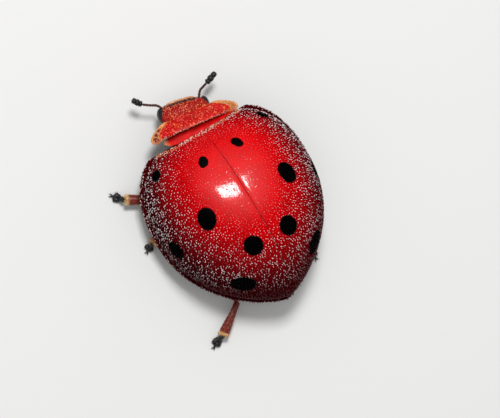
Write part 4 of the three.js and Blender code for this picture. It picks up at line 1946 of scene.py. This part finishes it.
@dataclass(frozen=True)
class Feeler:
    """A feeler of eleven joints: a slim stalk and a three-jointed club.

    Attributes:
        side: The side it is on.
        path: What its middle passes through.
        club_share: Share of its length at which the club starts.
        slim: Half of the stalk's thickness.
        stout: Half of the club's thickness.
        waist: Share of full thickness that is left where two joints meet.
        joints: Joints of the stalk and of the club.
        steps: Points along the whole path.
    """

    side: Side
    path: Route
    club_share: float = 0.74
    slim: float = 0.048
    stout: float = 0.105
    waist: float = 0.72
    joints: tuple[int, int] = (8, 3)
    steps: int = 60

    def thickness(self, share: float, joints: int, half: float) -> float:
        """Half thickness at a share of a run of beads, which is narrow where two beads meet."""
        bead = self.waist + (1 - self.waist) * math.sin(math.pi * ((share * joints) % 1.0)) ** 0.6
        return half * bead * blunt(share, 8, 0.2)

    def stalk_girth(self, share: float) -> Pair:
        """Girth of the stalk."""
        thick = self.thickness(share, self.joints[0], self.slim)
        return thick, thick

    def club_girth(self, share: float) -> Pair:
        """Girth of the club, whose middle joint is the thickest."""
        thick = self.thickness(share, self.joints[1], self.stout) * blend(0.8, 1.1, math.sin(math.pi * share))
        return thick, thick

    def build(self) -> None:
        """Makes the stalk and the club."""
        whole = smooth_path(self.path, self.steps)
        split = int(self.club_share * (self.steps - 1))
        word = self.side.word
        stalk = limb(whole[: split + 1], self.stalk_girth, 65, 14)
        piece(f"feeler_{word}_stalk_skin", stalk, STALK_SKIN, [f"feeler_{word}_stalk"])
        club = limb(whole[split:], self.club_girth, 40, 18)
        tip = piece(f"feeler_{word}_club_skin", club, FOOT_SKIN, [f"feeler_{word}_club"])
        Coat(
            name=f"feeler_{word}_hair", finish=FOOT_HAIR, slot="foot_black",
            spacing=0.06, length=0.06, width=0.012, lean=0.5,
            lie=tuple(Vector(self.path[-1]) - Vector(self.path[-2])), seed=41,
        ).grow(tip)


LEFT_PATH = (
    (0.58, -4.22, -0.03), (0.72, -4.5, 0.0), (0.95, -4.65, 0.01), (1.19, -4.83, 0.0), (1.42, -5.12, 0.0)
)
RIGHT_PATH = (
    (-0.68, -3.98, -0.03), (-0.86, -4.22, 0.0), (-1.03, -4.29, 0.01), (-1.22, -4.35, 0.0), (-1.67, -4.51, 0.0)
)
FEELERS = (Feeler(Side.LEFT, LEFT_PATH), Feeler(Side.RIGHT, RIGHT_PATH))


# ------------ legs


@dataclass(frozen=True)
class Leg:
    """A leg: thigh, shin with a pale fringe, and a small dark foot flat on the ground.

    Heights are above the ground. The foot runs from the ankle to the toe. Girths are a half
    width and a half depth.

    Attributes:
        name: The leg's name.
        hip: Where the thigh starts.
        knee: Where thigh and shin meet.
        ankle: Where shin and foot meet.
        toe: Plan position of the foot's end.
        thigh: Girth of the thigh.
        shin: Half width of the shin at the knee and at the ankle.
        flat: Its depth beside its width.
        heel: Girth of the foot's first joint.
        pad: Girth of each of the two pads ahead of it.
        pad_stretch: Shares of the foot's reach where they start and end.
        pad_spread: How far they stand aside there.
        stem: Girth of the slim last joint.
        claw: Half thickness of a claw's root.
        claw_reach: How far a claw reaches out and aside.
        low: Height of the joints' middles.
    """

    name: str
    hip: Triple
    knee: Triple
    ankle: Triple
    toe: Pair
    thigh: Pair = (0.24, 0.17)
    shin: Pair = (0.115, 0.19)
    flat: float = 0.72
    heel: Pair = (0.09, 0.08)
    pad: Pair = (0.1, 0.075)
    pad_stretch: Pair = (0.3, 0.9)
    pad_spread: Pair = (0.02, 0.1)
    stem: Pair = (0.045, 0.045)
    claw: float = 0.026
    claw_reach: Pair = (0.07, 0.05)
    low: float = 0.06

    def build(self) -> None:
        """Makes the leg's pieces."""
        ground = Vector((0.0, 0.0, FLOOR))
        hip, knee, ankle = (Vector(place) + ground for place in (self.hip, self.knee, self.ankle))
        bm = limb(bowed(hip, knee, 0.03), rounded(*self.thigh, 2.4, 0.3), 30)
        piece(f"{self.name}_thigh_skin", bm, LIMB_SKIN, [f"{self.name}_thigh"])
        self.build_shin(knee, ankle)
        self.build_foot(ankle)

    def shin_girth(self, share: float) -> Pair:
        """Girth of the shin, which flares toward the foot."""
        flare = blend(*self.shin, rise(share, 0.25, 1.0))
        return flare * blunt(share, 9, 0.35), flare * self.flat * blunt(share, 9, 0.35)

    def build_shin(self, knee: Vector, ankle: Vector) -> None:
        """Makes the shin and the fringe of short hair at its end.

        Args:
            knee: Upper end.
            ankle: Lower end.
        """
        bm = limb(bowed(knee, ankle, 0.04, 0.45), self.shin_girth, 40)
        pale = bm.verts.layers.float.new("pale")
        span = ankle - knee
        for vert in bm.verts:
            vert[pale] = rise((vert.co - knee).dot(span) / span.length_squared, 0.9, 0.96)
        shin = piece(f"{self.name}_shin_skin", bm, LIMB_SKIN, [f"{self.name}_shin"])
        down = tuple(span.normalized())
        Coat(
            name=f"{self.name}_shin_hair", finish=LIMB_HAIR, slot="leg_red",
            spacing=0.09, length=0.1, width=0.016, lean=0.3, lie=down, seed=51,
        ).grow(shin)
        Coat(
            name=f"{self.name}_fringe", finish=FRINGE_HAIR, slot="leg_red",
            spacing=0.035, length=0.1, width=0.024, lean=0.25, lie=down, swirl=0.15, seed=61,
            vigour=lambda place, normal: float(0.9 < (place - knee).dot(span) / span.length_squared < 0.985),
        ).grow(shin)

    def build_foot(self, ankle: Vector) -> None:
        """Makes the foot's joints and claws as one piece.

        Args:
            ankle: Where the foot leaves the shin.
        """
        low = FLOOR + self.low
        toe = Vector((*self.toe, low + 0.02))
        ahead = Vector((toe.x - ankle.x, toe.y - ankle.y, 0.0))
        reach = ahead.length
        ahead.normalize()
        aside = Vector((-ahead.y, ahead.x, 0.0))
        middle = Vector((ankle.x, ankle.y, low)) + ahead * reach * 0.5
        tip = toe + ahead * 0.03
        parts = [limb(bowed(ankle + ahead * 0.02, middle), rounded(*self.heel, 5, 0.4), 14, 14)]
        first, last = self.pad_stretch
        narrow, broad = self.pad_spread
        for sign in (-1, 1):
            start = Vector((ankle.x, ankle.y, low + 0.03)) + ahead * reach * first + aside * sign * narrow
            end = Vector((ankle.x, ankle.y, low)) + ahead * reach * last + aside * sign * broad
            parts.append(limb(bowed(start, end), rounded(*self.pad, 3, 0.2), 14, 14))
        root = middle + Vector((0, 0, 0.04))
        parts.append(limb(bowed(root, tip, 0.05), rounded(*self.stem, 4, 0.4), 14, 12))
        out, spread = self.claw_reach
        for sign in (-1, 1):
            bend = tip + ahead * out + aside * sign * spread
            hook = Vector((bend.x, bend.y, FLOOR + 0.012)) + ahead * 0.01
            parts.append(limb([tip, bend, hook], lambda s: (self.claw * (1 - 0.8 * s),) * 2, 10, 8))
        bm = joined(parts)
        for vert in bm.verts:
            vert.co.z = max(vert.co.z, FLOOR)
        foot = piece(f"{self.name}_foot_skin", bm, FOOT_SKIN, [f"{self.name}_foot"])
        Coat(
            name=f"{self.name}_foot_hair", finish=FOOT_HAIR, slot="foot_black",
            spacing=0.05, length=0.07, width=0.012, lean=0.5, lie=tuple(ahead),
            vigour=lambda place, normal: float(place.z > FLOOR + 0.03), seed=71,
        ).grow(foot)


LEGS = (
    Leg("left_front", (0.75, -2.85, 0.4), (1.82, -1.4, 0.42), (3.24, -2.17, 0.36), (3.5, -2.47)),
    Leg("left_middle", (0.9, -1.6, 0.4), (1.95, -0.72, 0.42), (3.12, -0.36, 0.34), (3.36, -0.2)),
    Leg("left_hind", (0.95, 0.7, 0.4), (1.5, 2.9, 0.42), (2.53, 3.68, 0.34), (2.93, 3.9)),
    Leg("right_front", (-0.7, -2.75, 0.4), (-1.72, -1.5, 0.42), (-2.5, -1.95, 0.34), (-2.66, -2.3)),
    Leg("right_middle", (-0.9, -1.45, 0.4), (-1.9, -0.52, 0.42), (-2.88, -0.26, 0.34), (-3.02, 0.15)),
    Leg("right_hind", (-0.85, 0.6, 0.4), (-1.6, 1.7, 0.42), (-1.74, 2.6, 0.34), (-1.78, 3.0)),
)


# ------------ studio


def toward(azimuth: float, elevation: float) -> Vector:
    """Direction by degrees round the animal, from its front to its left, and degrees upward."""
    a, e = math.radians(azimuth), math.radians(elevation)
    return Vector((math.sin(a) * math.cos(e), -math.cos(a) * math.cos(e), math.sin(e)))


@dataclass(frozen=True)
class Lamp:
    """A soft lamp that faces the animal.

    Attributes:
        name: The lamp's name.
        azimuth: Its direction in degrees, as toward takes it.
        elevation: Degrees above the horizon.
        far: Its distance in metres.
        size: Its width and height in metres.
        power: Its power in watts.
        mirrored: Whether gloss shows it.
    """

    name: str
    azimuth: float
    elevation: float
    far: float
    size: Pair
    power: float
    mirrored: bool = True

    def hang(self) -> None:
        """Puts the lamp in the scene, aimed at the body's middle height."""
        data = bpy.data.lights.new(self.name, "AREA")
        data.shape = "RECTANGLE"
        data.size, data.size_y = self.size
        data.energy = self.power
        made = bpy.data.objects.new(self.name, data)
        back = toward(self.azimuth, self.elevation)
        made.location = ANCHOR + Vector((0, 0, 1.5 * MM)) + back * self.far
        made.rotation_mode = "QUATERNION"
        made.rotation_quaternion = back.to_track_quat("Z", "Y")
        made.visible_glossy = self.mirrored
        bpy.context.scene.collection.objects.link(made)


@dataclass
class Studio:
    """Pale paper, soft lamps and the camera.

    Attributes:
        azimuth: The camera's direction in degrees, as toward takes it.
        elevation: Degrees above the horizon.
        roll: Degrees about its own axis.
        distance: Its distance in millimetres.
        aim: Millimetres to the right of the zero point and above it where it looks.
        lens: Its focal length.
        key: The main lamp, in front.
        fill: A weak lamp from the rear left.
        ambient: Strength of the even light from all round.
        backdrop: How bright the surroundings look, where 1 is white.
        floor_half: Half of the floor's width in metres.
    """

    azimuth: float = 63.356
    elevation: float = 76.427
    roll: float = 87.044
    distance: float = 150.0
    aim: Pair = (0.4412, -0.027)
    lens: float = 309.17
    key: Lamp = Lamp("key_lamp", -11.0, 64.5, 0.13, (0.032, 0.025), 0.113)
    fill: Lamp = Lamp("fill_lamp", 120.0, 50.0, 0.16, (0.12, 0.12), 0.015, mirrored=False)
    ambient: float = 0.4
    backdrop: float = 0.85
    floor_half: float = 1.5

    def basis(self) -> tuple[Vector, Vector, Vector]:
        """The camera's own axes.

        Returns:
            Directions to its right, up and back.
        """
        turn, roll = math.radians(self.azimuth), math.radians(self.roll)
        back = toward(self.azimuth, self.elevation)
        level = Vector((math.cos(turn), math.sin(turn), 0.0))
        right = level * math.cos(roll) + back.cross(level) * math.sin(roll)
        return right, back.cross(right), back

    def camera(self) -> None:
        """Makes the camera."""
        right, up, back = self.basis()
        data = bpy.data.cameras.new("camera")
        data.lens = self.lens
        data.clip_start, data.clip_end = 0.01, 10.0
        made = bpy.data.objects.new("camera", data)
        made.rotation_mode = "QUATERNION"
        made.rotation_quaternion = Matrix((right, up, back)).transposed().to_quaternion()
        made.location = ANCHOR + (back * self.distance + right * self.aim[0] + up * self.aim[1]) * MM
        bpy.context.scene.collection.objects.link(made)
        bpy.context.scene.camera = made

    def floor(self) -> None:
        """Lays the paper that the animal stands on."""
        bm = bmesh.new()
        bmesh.ops.create_grid(bm, x_segments=1, y_segments=1, size=self.floor_half)
        mesh = bpy.data.meshes.new("floor")
        bm.to_mesh(mesh)
        bm.free()
        mesh.materials.append(StudioPaper().material())
        floor = bpy.data.objects.new("floor", mesh)
        bpy.context.scene.collection.objects.link(floor)

    def surroundings(self) -> None:
        """Makes the even light from all round, which looks brighter than it lights."""
        world = bpy.data.worlds.new("studio")
        world.use_nodes = True
        tree = world.node_tree
        tree.nodes.clear()
        both = {0: seen_ray(tree), 2: self.ambient, 3: self.backdrop}
        strength = node(tree, "Mix", both, data_type="FLOAT").outputs[0]
        sky = node(tree, "Background", {"Color": linear("#ffffff"), "Strength": strength})
        node(tree, "OutputWorld", {"Surface": sky.outputs[0]})
        bpy.context.scene.world = world

    def build(self) -> None:
        """Makes the floor, the light and the camera."""
        self.floor()
        self.surroundings()
        self.key.hang()
        self.fill.hang()
        self.camera()
        bpy.context.scene.view_settings.view_transform = "Standard"


def main() -> None:
    """Builds the animal's sub-assemblies in order, then the studio."""
    logging.basicConfig(level=logging.INFO, format="%(name)s %(message)s")
    WingCases().build()
    SmallPlate().build()
    NeckShield().build()
    WaistRing().build()
    Trunk().build()
    Head().build()
    for feeler in FEELERS:
        feeler.build()
    for leg in LEGS:
        leg.build()
    Studio().build()


if __name__ == "__main__":
    main()
